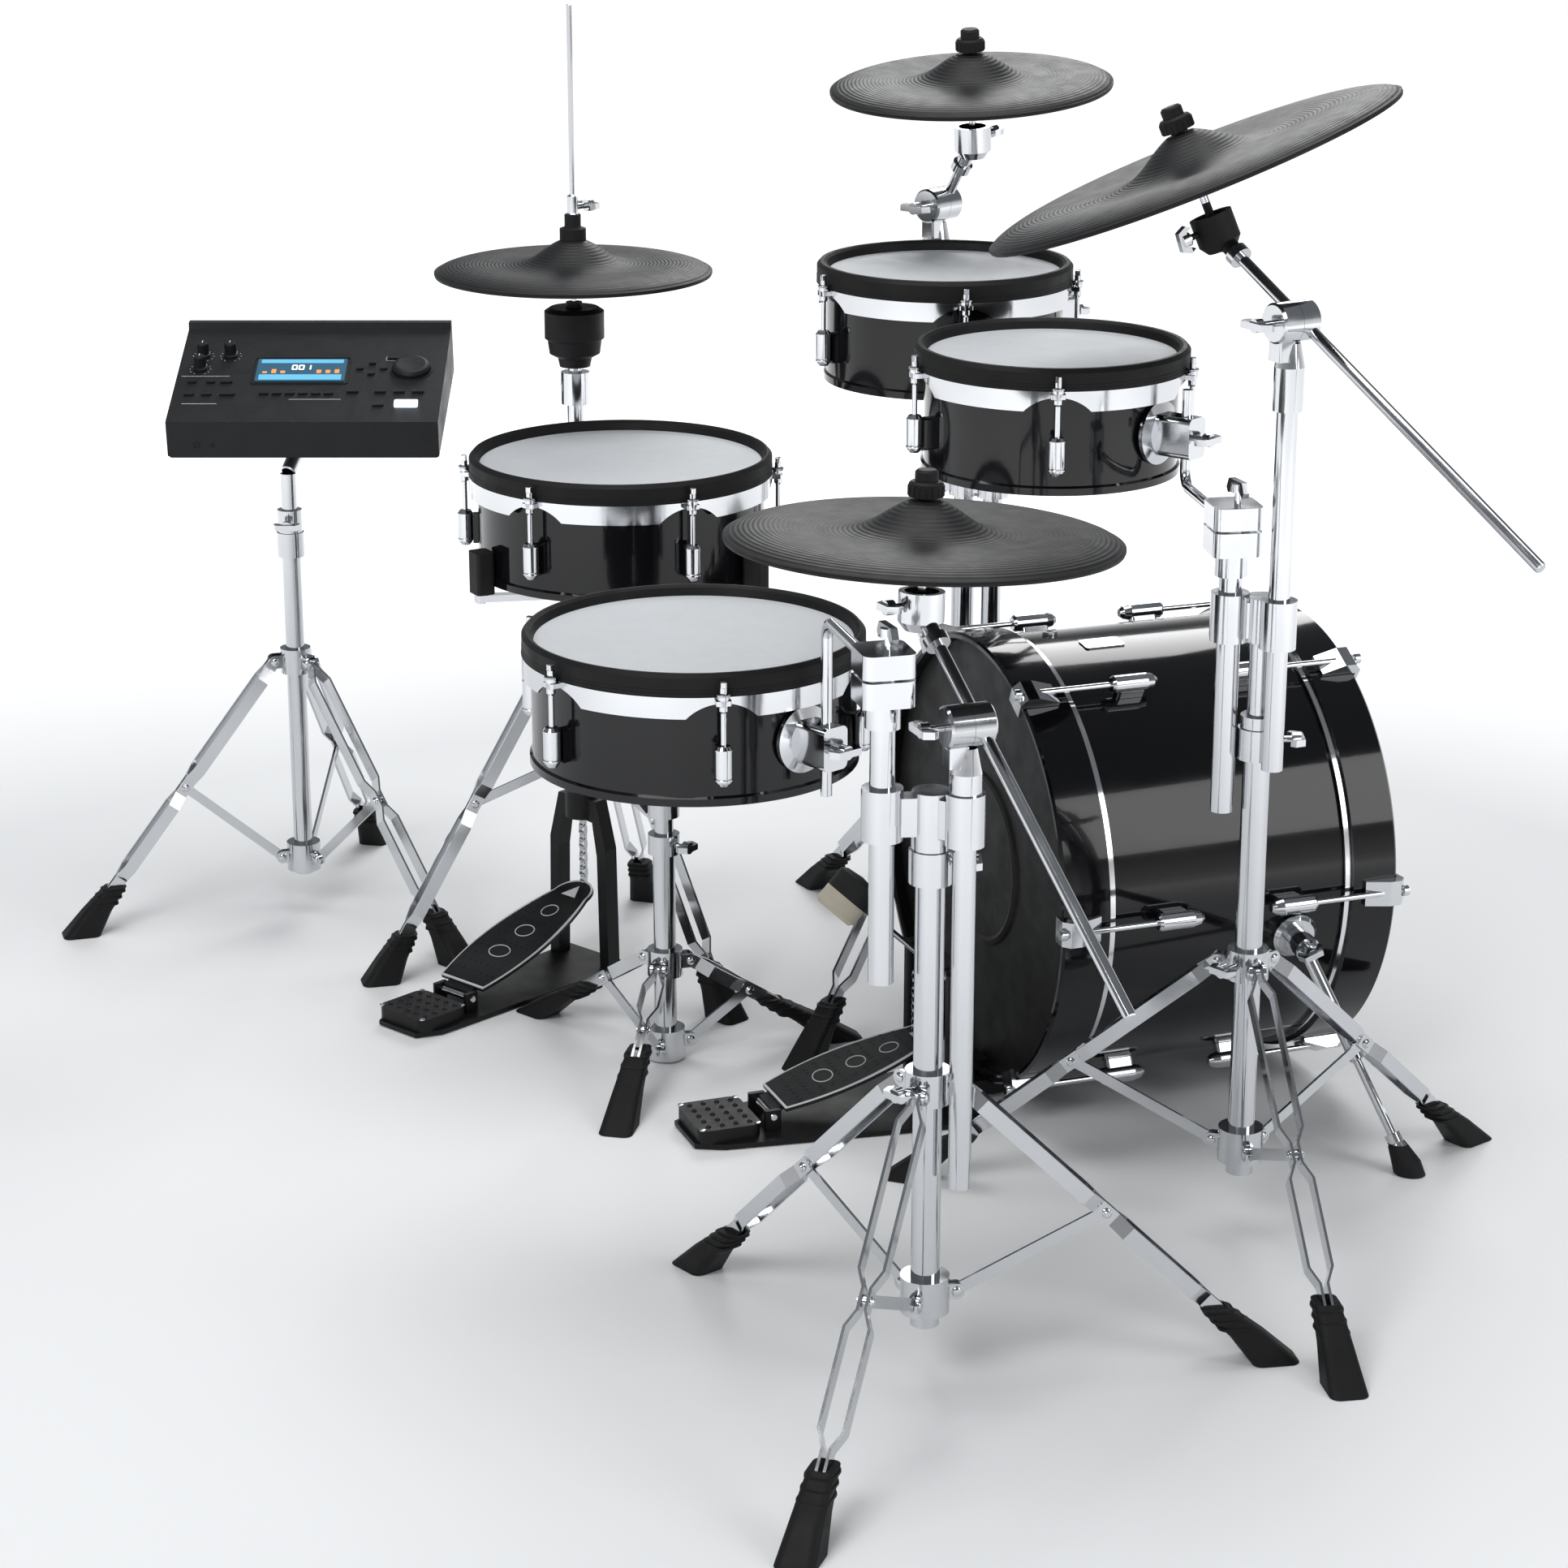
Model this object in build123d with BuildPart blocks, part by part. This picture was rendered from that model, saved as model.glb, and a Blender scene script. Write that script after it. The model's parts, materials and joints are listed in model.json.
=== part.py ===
from build123d import *
from math import atan2, cos, radians, sin
import os

os.makedirs("parts", exist_ok=True)

# Electronic drum kit with shallow acoustic-style drums. Millimetres, +Z up, floor at Z = 0.
# The drummer sits on the +Y side and faces -Y. Stand and drum places are first given from
# the floor point below the kick drum's batter rim, then moved by KIT_CENTRE to the middle
# of the whole kit.
KIT_CENTRE = (79.6, 177.3)
GAP = 0.3  # air between pieces of different bodies
FIT = 0.05  # radial clearance of a shaft in its bore

# ---- kick drum -------------------------------------------------------------------------
KICK_Z = 260.0
KICK_LENGTH = 372.0
HOOP_R = 238.0
HOOP_WALL = 9.0
HOOP_DEPTH = 50.0
FLESH_DEPTH = 7.0
KICK_SHELL_R = 229.5
KICK_SHELL_WALL = 7.0
KICK_HEAD_RECESS = 14.0
PATCH_R = 92.0
KICK_LUG_COUNT = 6
KICK_LUG_FIRST = 30.0
KICK_LUG_R = 9.0
KICK_LUG_LENGTH = 50.0
KICK_LUG_FROM_RIM = 98.0
SPUR_ANGLE = 10.0  # below the kick's own height
SPUR_FROM_RIM = KICK_LENGTH - 110.0
SPUR_FEET = {"right": (-358.0, -335.0), "left": (250.0, -262.0)}

# ---- small drums -----------------------------------------------------------------------
RIM_LIP = 10.0
RIM_DROP = 11.0
SHELL_WALL = 6.0
DRUM_DEPTH = 114.0
LUG_R = 8.0
LUG_LENGTH = 38.0
LUG_TOP = 54.0
ROD_R = 2.6
ROD_CLEAR = 6.0  # from the rubber rim to the tension rods
DRUMS = {
    # name: (x, y, head height, head radius, rubber rim width, lugs, first lug angle)
    "snare": (234.0, 302.0, 659.0, 147.0, 11.0, 6, 128.0),
    "floor_tom": (-259.0, 392.0, 606.0, 147.0, 11.0, 6, 170.0),
    "tom_1": (214.0, -53.0, 841.0, 122.0, 13.0, 5, 166.0),
    "tom_2": (-100.0, -35.0, 812.0, 122.0, 13.0, 5, 158.0),
}

# ---- stands ----------------------------------------------------------------------------
MAIN_TUBE_R = 12.9
BOOM_TUBE_R = 10.0
TOM_TUBE_R = 11.0
TUBE_WALL = 1.6
LEG_STRIP = (14.0, 2.6)  # width and thickness of a leg strip
LEG_SPREAD = 11.0  # half distance between the two strips of a leg
LEG_PINCH = 3.5
LEG_FLAT = 10.0  # the strips stay closed this far on each side of a pivot
FOOT_SIZE = (44.0, 36.0)
FOOT_HEIGHT = 56.0
TRIPODS = {
    # name: (x, y, foot circle radius, first foot angle, low hub, high hub, tube radius)
    "front_stand": (-614.0, 303.0, 322.0, 19.5, 92.0, 289.0, MAIN_TUBE_R),
    "right_stand": (-413.0, -111.0, 342.0, 48.9, 90.0, 276.0, MAIN_TUBE_R),
    "rear_stand": (329.0, -129.0, 342.0, 8.0, 90.0, 276.0, MAIN_TUBE_R),
    "module_stand": (790.0, 532.0, 271.0, 87.5, 72.0, 317.0, 11.0),
    "snare_stand": (194.0, 272.0, 201.0, 27.3, 19.0, 112.0, 12.0),
    "hihat_stand": (501.0, 268.0, 240.0, 84.0, 246.0, 388.0, 9.5),
}

# ---- cymbals ---------------------------------------------------------------------------
# name: (x, y, height of the centre, radius, lean of the axis along x and along y)
CYMBALS = {
    "crash_left": (312.0, -122.0, 1019.0, 151.0, -0.073, 0.078),
    "ride": (-542.0, 283.0, 755.0, 170.0, 0.030, -0.043),
    "crash_right": (-322.0, -69.0, 1019.0, 198.0, 0.209, 0.355),
}
CYMBAL_EDGE = 7.0
CYMBAL_THICK = 4.0
BELL_R = 50.0
BELL_RISE = 22.0
BOW_RISE = 9.0
STEM_R = 4.0
HIHAT_HEIGHT = 812.0
HIHAT_R = 152.0
HIHAT_ROD_R = 3.0
HIHAT_ROD_TOP = 1100.0

# ---- module ----------------------------------------------------------------------------
MODULE_AT = (811.0, 493.0, 606.0)
MODULE_SIZE = (311.0, 228.0)
MODULE_FRONT = 44.0
MODULE_BACK = 62.0
MODULE_TILT = 14.0
MODULE_TURN = 159.8  # direction that the panel faces, in the floor plane


def at(x, y, z=0.0):
    """A point of the kit in its final frame."""
    return Vector(x - KIT_CENTRE[0], y - KIT_CENTRE[1], z)


def turned(plane, *profile):
    """A solid turned about the plane's normal from points of radius and height."""
    with BuildPart() as piece:
        with BuildSketch(Plane(plane.origin, plane.x_dir, -plane.y_dir)):
            with BuildLine():
                Polyline(*profile, close=True)
            make_face()
        revolve(axis=Axis(plane.origin, plane.z_dir))
    return piece.part


def ring(plane, outer, inner, low, high):
    return turned(plane, (inner, low), (outer, low), (outer, high), (inner, high))


def rod(start, end, radius):
    """A round bar with small chamfers, from one point to another."""
    start, end = Vector(start), Vector(end)
    length = (end - start).length
    ease = min(radius * 0.2, 1.5)
    return turned(
        Plane(start, z_dir=end - start),
        (0, 0), (radius - ease, 0), (radius, ease), (radius, length - ease),
        (radius - ease, length), (0, length),
    )


def pipe(start, end, radius, wall=TUBE_WALL):
    start, end = Vector(start), Vector(end)
    return ring(Plane(start, z_dir=end - start), radius, radius - wall, 0, (end - start).length)


def block(plane, length, width, height, ease=2.0):
    """A box with rounded upright edges, standing on the middle of a plane."""
    with BuildPart() as piece:
        with BuildSketch(plane):
            RectangleRounded(length, width, ease)
        extrude(amount=height)
    return piece.part


def bent(radius, *points, bend):
    """A round bar along straight runs with rounded corners."""
    with BuildPart() as piece:
        with BuildLine() as path:
            FilletPolyline(*points, radius=bend)
        with BuildSketch(Plane(path.line @ 0, z_dir=path.line % 0)):
            Circle(radius)
        sweep()
    return piece.part


def gathered(*solids):
    with BuildPart() as group:
        add(solids)
    return group.part


def saved(name, *solids):
    """Writes one node of separate solids and keeps it for its neighbours."""
    with BuildPart() as node:
        add(solids)
    node.part.label = name
    export_step(node.part, "parts/" + name + ".step")
    return node.part


def wing_bolt(plane, reach=16.0, span=19.0):
    """A screw shank along the plane's normal with a two-winged grip at its end."""
    with BuildPart() as bolt:
        with BuildSketch(plane):
            Circle(3.0)
        extrude(amount=reach)
        with BuildSketch(plane.offset(reach - 1.0)):
            Circle(6.5)
        extrude(amount=8.0)
        with BuildSketch(Plane(plane.from_local_coords((0, 0, reach + 5.0)), plane.x_dir, plane.y_dir)):
            with BuildLine():
                Polyline(
                    (-span, 4), (-span + 3, 9), (-7, 3.5), (7, 3.5), (span - 3, 9), (span, 4),
                    (span - 4, -5), (-span + 4, -5), close=True,
                )
            make_face()
        extrude(amount=3.2, both=True)
    return bolt.part


# ---- tripods ---------------------------------------------------------------------------
def leg_strip(plane, length, pinches, side):
    """One bent flat strip of a leg: it closes in at each pinch and stands off between."""
    stations = [(0, LEG_PINCH)]
    for start, end in zip(pinches[:-1], pinches[1:]):
        opening, closing = start + LEG_FLAT, end - LEG_FLAT
        ease = min(16.0, 0.35 * (closing - opening))
        if ease > 5:
            stations += [(opening, LEG_PINCH), (opening + ease, LEG_SPREAD)]
            stations += [(closing - ease, LEG_SPREAD), (closing, LEG_PINCH)]
    stations += [(length, LEG_PINCH)]
    half = LEG_STRIP[1] / 2
    outer = [(along, side * (off + half)) for along, off in stations]
    inner = [(along, side * (off - half)) for along, off in reversed(stations)]
    with BuildPart() as strip:
        with BuildSketch(plane):
            with BuildLine():
                Polyline(*outer, *inner, close=True)
            make_face()
        extrude(amount=LEG_STRIP[0] / 2, both=True)
    return strip.part


def foot_pad(sole, inward, lift, leg):
    """A tapered rubber foot: flat below, leaning along its leg, with a pocket for the leg."""
    with BuildPart() as foot:
        with BuildSketch(Plane(sole, x_dir=inward)):
            RectangleRounded(*FOOT_SIZE, 9)
        with BuildSketch(
            Plane(sole + inward * lift * 0.45 + Vector(0, 0, FOOT_HEIGHT * 0.5), x_dir=inward)
        ):
            RectangleRounded(FOOT_SIZE[0] * 0.78, FOOT_SIZE[1] * 0.82, 9)
        with BuildSketch(Plane(sole + inward * lift + Vector(0, 0, FOOT_HEIGHT), x_dir=inward)):
            RectangleRounded(25, 24, 7)
        loft(ruled=True)
        with BuildSketch(leg):
            Rectangle(LEG_STRIP[0] + 2 * GAP, 2 * LEG_PINCH + LEG_STRIP[1] + 2 * GAP)
        extrude(amount=70, mode=Mode.SUBTRACT)
    return foot.part


def ear(plane, near, thick, hole):
    """A pivot plate of a hub: it stands off the plane by near and has one hole."""
    with BuildPart() as plate:
        with BuildSketch(plane.offset(near)):
            SlotCenterToCenter(10, 15)
            with Locations((5, 0)):
                Circle(hole, mode=Mode.SUBTRACT)
        extrude(amount=thick)
    return plate.part


def bored(solids, x, y, radius):
    """A hub's solids joined and bored for the stand's tube."""
    with BuildPart() as hub:
        add(solids)
        with BuildSketch(Plane(at(x, y))):
            Circle(radius)
        extrude(amount=600, mode=Mode.SUBTRACT)
    return hub.part


def tripod(name):
    """Hubs, legs and braces as separate solids, and the three rubber feet."""
    x, y, reach, first, low, high, tube = TRIPODS[name]
    inner = LEG_PINCH + LEG_STRIP[1] / 2
    frame, feet = [], []
    low_hub = [ring(Plane(at(x, y, low - 17)), tube + 9, tube + FIT, 0, 34)]
    high_hub = [ring(Plane(at(x, y, high - 15)), tube + 7, tube + FIT, 0, 30)]
    for number in range(3):
        angle = radians(first + 120 * number)
        out = Vector(cos(angle), sin(angle), 0)
        side = Vector(-sin(angle), cos(angle), 0)
        top = at(x, y, high) + out * (tube + 15)
        sole = at(x, y) + out * reach
        down = (sole - top).normalized()
        lift = FOOT_HEIGHT * (reach - tube - 15) / high
        socket = sole - down * (FOOT_HEIGHT * 0.45 * (sole - top).length / high)
        length = (socket - top).length
        middle = length * 0.5
        knee = top + down * middle
        slant = (sole - top).length / high
        tail = FOOT_HEIGHT * 0.55 * slant + LEG_STRIP[0] / 2 * slant - LEG_FLAT + 3
        seat = at(x, y, low) + out * (tube + 15)
        for hand in (-1, 1):
            wall = Plane(top - out * 5, x_dir=out, z_dir=side * hand)
            high_hub.append(ear(wall, inner + GAP, 3.0, 3.2 + FIT))
            wall = Plane(seat - out * 5, x_dir=out, z_dir=side * hand)
            low_hub.append(ear(wall, 1.4 + GAP, 3.0, 3.2 - FIT))
        low_hub.append(rod(seat - side * 6, seat + side * 6, 3.2))
        strips = Plane(top, x_dir=down, z_dir=down.cross(side))
        leg = [leg_strip(strips, length, (0, middle, length - tail), hand) for hand in (-1, 1)]
        leg.append(rod(top - side * 9.5, top + side * 9.5, 3.2))
        leg.append(rod(knee - side * 8.0, knee + side * 8.0, 3.2))
        frame.append(gathered(*leg))
        with BuildPart() as brace:
            with BuildSketch(Plane((knee + seat) * 0.5, x_dir=knee - seat, z_dir=side)):
                SlotCenterToCenter((knee - seat).length, 11)
                with Locations(((knee - seat).length / 2, 0), (-(knee - seat).length / 2, 0)):
                    Circle(3.2 + FIT, mode=Mode.SUBTRACT)
            extrude(amount=1.4, both=True)
        frame.append(brace.part)
        feet.append(foot_pad(sole, -out, lift, Plane(socket, x_dir=down.cross(side), z_dir=down * -1)))
    return [bored(low_hub, x, y, tube + FIT), bored(high_hub, x, y, tube + FIT)] + frame, feet


all_feet = []
tripods = {}
for stand in TRIPODS:
    tripods[stand], pads = tripod(stand)
    all_feet += pads
saved("rubber_feet", *all_feet)

# ---- small drums -----------------------------------------------------------------------
def drum_sizes(name):
    x, y, top, head, rim, lugs, first = DRUMS[name]
    return at(x, y, top), head, head + rim, head + 3.0, lugs, first


def make_drum(name):
    centre, head, outer, shell, lugs, first = drum_sizes(name)
    plane = Plane(centre)
    turn = [radians(first + 360 / lugs * number) for number in range(lugs)]
    lug_circle = outer + ROD_CLEAR
    hoop = outer + 0.6
    with BuildPart() as body:
        add(ring(plane, shell, shell - SHELL_WALL, -DRUM_DEPTH + 6, -6))
        add(turned(
            plane, (0, -DRUM_DEPTH), (shell + 2.5, -DRUM_DEPTH), (shell + 2.5, -DRUM_DEPTH + 7),
            (shell, -DRUM_DEPTH + 9), (shell - SHELL_WALL, -DRUM_DEPTH + 9),
            (shell - SHELL_WALL, -DRUM_DEPTH + 5), (0, -DRUM_DEPTH + 5),
        ))
        for angle in turn:
            out = Vector(cos(angle), sin(angle), 0)
            pad = Plane(
                centre + out * (shell - 1.5) - Vector(0, 0, LUG_TOP + LUG_LENGTH / 2),
                x_dir=(0, 0, 1), z_dir=out,
            )
            add(block(pad, LUG_LENGTH - 6, 11, lug_circle - LUG_R - shell + 1.5 - GAP, 2))
    saved(name + "_shell", body.part)
    saved(name + "_head", turned(plane, (0, -1.5), (head, -1.5), (head, 0), (0, 0)))
    saved(name + "_rim", turned(
        plane, (head + GAP, -5), (outer - 3, -5), (outer - 3, -RIM_DROP), (outer, -RIM_DROP),
        (outer, RIM_LIP - 4), (outer - 3.5, RIM_LIP), (head + 5.5, RIM_LIP), (head + 2.5, RIM_LIP - 2.5),
        (head + GAP, 0.5),
    ))
    with BuildPart() as skirt:
        add(ring(plane, hoop, hoop - 2.6, -31, -RIM_DROP - GAP))
        for angle in turn:
            out = Vector(cos(angle), sin(angle), 0)
            arch = Plane(centre - Vector(0, 0, 17 + 44), z_dir=out)
            with BuildSketch(arch):
                Circle(44)
            extrude(amount=hoop + 10, mode=Mode.SUBTRACT)
        for angle in turn:
            out = Vector(cos(angle), sin(angle), 0)
            add(block(Plane(centre + out * (hoop + 3.5) - Vector(0, 0, 17), x_dir=out), 12, 14, 4.5, 1.5))
    metal = [skirt.part]
    for angle in turn:
        post = Plane(centre + Vector(cos(angle), sin(angle), 0) * lug_circle)
        low = -LUG_TOP - LUG_LENGTH
        metal.append(turned(
            post, (0, low), (4.5, low + 1), (LUG_R - 1, low + 4), (LUG_R, low + 9), (LUG_R, -LUG_TOP - 3),
            (LUG_R - 2, -LUG_TOP), (0, -LUG_TOP),
        ))
        metal.append(turned(
            post, (0, -LUG_TOP - 0.01), (ROD_R, -LUG_TOP - 0.01), (ROD_R, -24), (4.2, -22), (4.2, -18),
            (ROD_R + 2.6, -12), (ROD_R + 2.6, -8), (3.4, -7), (3.4, -1), (0, -1),
        ))
    saved(name + "_hardware", *metal)


for drum in DRUMS:
    make_drum(drum)


# ---- kick drum -------------------------------------------------------------------------
# Local Z runs from the batter rim to the front rim, local Y is up.
kick_plane = Plane(at(0, 0, KICK_Z), x_dir=(1, 0, 0), z_dir=(0, -1, 0))


def from_rim(distance):
    """The kick drum's cross plane at a distance from the batter rim."""
    return kick_plane.offset(distance)


def round_kick(angle, radius, along):
    """A point at an angle from the top, and the outward direction there."""
    out = Vector(sin(radians(angle)), 0, cos(radians(angle)))
    return from_rim(along).origin + out * radius, out


shell_start = HOOP_DEPTH + 2 * GAP + FLESH_DEPTH
saved("kick_shell", ring(
    kick_plane, KICK_SHELL_R, KICK_SHELL_R - KICK_SHELL_WALL, shell_start + GAP,
    KICK_LENGTH - shell_start - GAP,
))
flesh = [
    ring(kick_plane, HOOP_R - 4, KICK_SHELL_R - KICK_SHELL_WALL, start, start + FLESH_DEPTH)
    for start in (HOOP_DEPTH + GAP, KICK_LENGTH - HOOP_DEPTH - GAP - FLESH_DEPTH)
]
saved("kick_flesh_hoops", *flesh)


def wood_hoop(plane):
    ease = 2.5
    return turned(
        plane, (HOOP_R - HOOP_WALL, ease), (HOOP_R - HOOP_WALL + ease, 0), (HOOP_R - ease, 0),
        (HOOP_R, ease),
        (HOOP_R, HOOP_DEPTH), (HOOP_R - HOOP_WALL, HOOP_DEPTH),
    )


front_rim = Plane(from_rim(KICK_LENGTH).origin, x_dir=(1, 0, 0), z_dir=(0, 1, 0))
saved("kick_hoops", wood_hoop(kick_plane), wood_hoop(front_rim))
head_r = HOOP_R - HOOP_WALL - GAP
batter = turned(
    from_rim(KICK_HEAD_RECESS), (0, -2.5), (PATCH_R - 8, -2.5), (PATCH_R - 4, -4), (PATCH_R, -2.5),
    (PATCH_R + 2, 0),
    (head_r, 0), (head_r, 2), (0, 2),
)
front = turned(from_rim(KICK_LENGTH - KICK_HEAD_RECESS), (0, -2), (head_r, -2), (head_r, 0), (0, 0))
saved("kick_heads", batter, front)

tension = []
rod_radius = HOOP_R + 8.0
for face in (1, -1):
    rim = 0 if face > 0 else KICK_LENGTH
    for number in range(KICK_LUG_COUNT):
        angle = KICK_LUG_FIRST + 360 / KICK_LUG_COUNT * number
        point, out = round_kick(angle, 0, rim)
        inward = Vector(0, -face, 0)
        across = out.cross(inward)
        with BuildPart() as claw:
            with BuildSketch(Plane(point, x_dir=out, z_dir=across)):
                with BuildLine():
                    hand = -1 if Plane(point, x_dir=out, z_dir=across).y_dir.dot(inward) < 0 else 1
                    Polyline(
                        (HOOP_R - 12, -GAP * hand), (HOOP_R - 12, -4 * hand), (HOOP_R + 5, -5 * hand),
                        (HOOP_R + 13, 2 * hand), (HOOP_R + 13, 14 * hand), (HOOP_R + 4, 38 * hand),
                        (HOOP_R + GAP, 38 * hand), (HOOP_R + GAP, -GAP * hand), close=True,
                    )
                make_face()
            extrude(amount=13, both=True)
        lug_start = point + out * rod_radius + inward * KICK_LUG_FROM_RIM
        casing = turned(
            Plane(lug_start, z_dir=inward), (0, 0), (KICK_LUG_R - 2, 0), (KICK_LUG_R, 3), (KICK_LUG_R, 38),
            (KICK_LUG_R - 2, KICK_LUG_LENGTH - 4), (4, KICK_LUG_LENGTH), (0, KICK_LUG_LENGTH),
        )
        foot = Plane(
            point + out * (KICK_SHELL_R + GAP) + inward * (KICK_LUG_FROM_RIM + 24), x_dir=inward,
            z_dir=out,
        )
        stand_off = rod_radius - KICK_SHELL_R - GAP - KICK_LUG_R + 2
        post = block(foot, 30, 12, stand_off, 3)
        shank = rod(point + out * rod_radius - inward * 7, lug_start + inward, 3.0)
        head = rod(point + out * rod_radius - inward * 9, point + out * rod_radius - inward * 1, 5.5)
        tension.append(gathered(claw.part, casing, post, shank, head))
saved("kick_tension_hardware", *tension)

vent_at, vent_out = round_kick(5, KICK_SHELL_R + GAP, 95)
badge_at, badge_out = round_kick(-7, KICK_SHELL_R + GAP, 132)
vent = ring(Plane(vent_at, z_dir=vent_out), 8, 3.5, 0, 3)
badge = block(Plane(badge_at, x_dir=(0, 1, 0), z_dir=badge_out), 44, 22, 1.2, 3)
saved("kick_vent_and_badge", vent, badge)

# Spurs: a round bracket on the shell and a leg that swivels about the bracket's stud.
SPUR_STUD_R = 4.0
SPUR_KNUCKLE = (7.0 + GAP, 31.0)  # from the shell to the knuckle's two faces
spur_clamps = []
for hand, side_name in ((-1, "right"), (1, "left")):
    seat_at, out = round_kick(hand * (90 + SPUR_ANGLE), KICK_SHELL_R + GAP, SPUR_FROM_RIM)
    bracket = Plane(seat_at, x_dir=(0, 1, 0), z_dir=out)
    hinge = seat_at + out * 19
    toe = at(*SPUR_FEET[side_name])
    line = (toe - hinge).normalized()
    tube_end = hinge + line * 130
    with BuildPart() as spur:
        add(rod(hinge, tube_end, 7.5))
        add(rod(tube_end - line, toe - line * 28, 4.5))
        add(turned(Plane(toe - line * 44, z_dir=line), (0, 0), (8, 0), (8, 10), (0, 10)))
        add(ring(bracket, 13, 2, *SPUR_KNUCKLE))
        with BuildSketch(bracket):
            Circle(SPUR_STUD_R + FIT)
        extrude(amount=60, mode=Mode.SUBTRACT)
    with BuildPart() as tip:
        add(turned(
            Plane(toe - line * 33.5, z_dir=line), (4.5 + FIT, 0), (9, 0), (15, 26), (13, 45),
            (0, 45), (0, 6),
            (4.5 + FIT, 6),
        ))
        split(bisect_by=Plane.XY, keep=Keep.TOP)
    saved("kick_spur_" + side_name, spur.part, tip.part)
    spur_clamps.append(gathered(
        turned(bracket, (0, 0), (24, 0), (24, 3), (20, 7), (SPUR_STUD_R, 7), (SPUR_STUD_R, 36), (0, 36)),
        wing_bolt(Plane(seat_at + out * 30, x_dir=out.cross(line), z_dir=out), 6.5, 14),
    ))
saved("kick_spur_brackets", *spur_clamps)


# ---- pedals ----------------------------------------------------------------------------
# A pedal plane has its origin on the floor below the driven axle, local Y towards the heel.
AXLE_R = 5.0
BOARD_THICK = 5.0
HINGE_Z = 21.0
HINGE_R = 4.0


def heel_and_base(pedal, hinge_y, front_half, heel_half, front_y):
    """A floor plate that narrows to the heel, with a raised heel block and its hinge ears."""
    with BuildPart() as plate:
        with BuildSketch(pedal.offset(1.0)):
            with BuildLine():
                Polyline(
                    (-front_half, front_y), (front_half, front_y), (heel_half, hinge_y + 60),
                    (heel_half - 14, hinge_y + 88), (14 - heel_half, hinge_y + 88),
                    (-heel_half, hinge_y + 60),
                    close=True,
                )
            make_face()
        extrude(amount=5)
        with BuildSketch(pedal.offset(5.9)):
            with Locations((0, hinge_y + 50)):
                RectangleRounded(2 * heel_half - 12, 68, 12)
        extrude(amount=15)
        with BuildSketch(pedal):
            with Locations((0, (hinge_y + front_y) / 2)):
                RectangleRounded(40, 90, 5)
        extrude(amount=1.2)
        for hand in (-1, 1):
            cheek = Plane(pedal.from_local_coords((hand * 25, hinge_y, 5.5)), pedal.x_dir, pedal.z_dir)
            add(block(cheek, 6, 18, HINGE_Z + 1.5, 2))
        lug_axis = Plane(pedal.from_local_coords((-40, hinge_y, HINGE_Z)), z_dir=pedal.x_dir)
        with BuildSketch(lug_axis):
            Circle(HINGE_R + FIT)
        extrude(amount=80, mode=Mode.SUBTRACT)
    return plate.part


def footboard(pedal, hinge_y, tip_y, tip_z, link_y, hook_z):
    """The tread with its hinge pin, and the chain that runs up from its tip."""
    hinge = pedal.from_local_coords((0, hinge_y, HINGE_Z))
    tip = pedal.from_local_coords((0, tip_y, tip_z))
    length = (tip - hinge).length
    tread = Plane(hinge, x_dir=pedal.x_dir, z_dir=pedal.x_dir.cross(hinge - tip) * -1)
    forward = 1 if tread.y_dir.dot(tip - hinge) > 0 else -1
    lift = 1 if tread.z_dir.Z > 0 else -1
    with BuildPart() as board:
        with BuildSketch(tread.offset(lift * (HINGE_R - 1))):
            with BuildLine():
                ThreePointArc(
                    (-34, forward * 13), (-44, forward * length * 0.5),
                    (-26, forward * length * 0.88),
                )
                ThreePointArc(
                    (-26, forward * length * 0.88), (0, forward * length),
                    (26, forward * length * 0.88),
                )
                ThreePointArc(
                    (26, forward * length * 0.88), (44, forward * length * 0.5), (34, forward * 13),
                )
                Line((34, forward * 13), (-34, forward * 13))
            make_face()
        extrude(amount=lift * BOARD_THICK)
        add(
            rod(
                pedal.from_local_coords((-30, hinge_y, HINGE_Z)),
                pedal.from_local_coords((30, hinge_y, HINGE_Z)), HINGE_R,
            )
        )
        add(
            block(
                Plane(hinge + (tip - hinge) * 0.045, x_dir=pedal.x_dir, z_dir=tread.z_dir * lift),
                42, 14, 5, 2,
            )
        )
    under = max(link_y, tip_y + 4)
    low = tip_z - (under - tip_y) / (hinge_y - tip_y) * (tip_z - HINGE_Z) + BOARD_THICK + HINGE_R + 1
    chain = block(
        Plane(pedal.from_local_coords((0, link_y, low)), x_dir=pedal.x_dir), 9, 6, hook_z - low, 2,
    )
    return board.part, chain


KICK_PEDAL_X = -20.0
KICK_AXLE = (44.0, 150.0)
KICK_HINGE_Y = 236.0
CAM_R = 20.0
BEATER_REACH = 137.0
BEATER_TAIL = 24.0  # of its shaft, past the axle
BEATER_LEAN = 47.0
kick_pedal = Plane(at(KICK_PEDAL_X, 0, 0), x_dir=(1, 0, 0), z_dir=(0, 0, 1))
axle_at = kick_pedal.from_local_coords((0, *KICK_AXLE))
posts = []
for hand in (-1, 1):
    with BuildPart() as post:
        add(
            block(
                Plane(kick_pedal.from_local_coords((hand * 56, KICK_AXLE[0], 5.5))), 14, 24,
                KICK_AXLE[1] + 8, 4,
            )
        )
        with BuildSketch(
            Plane(
                kick_pedal.from_local_coords((hand * 80, KICK_AXLE[0], KICK_AXLE[1])),
                z_dir=(-hand, 0, 0),
            )
        ):
            Circle(AXLE_R + FIT)
        extrude(amount=60, mode=Mode.SUBTRACT)
    posts.append(post.part)
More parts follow.
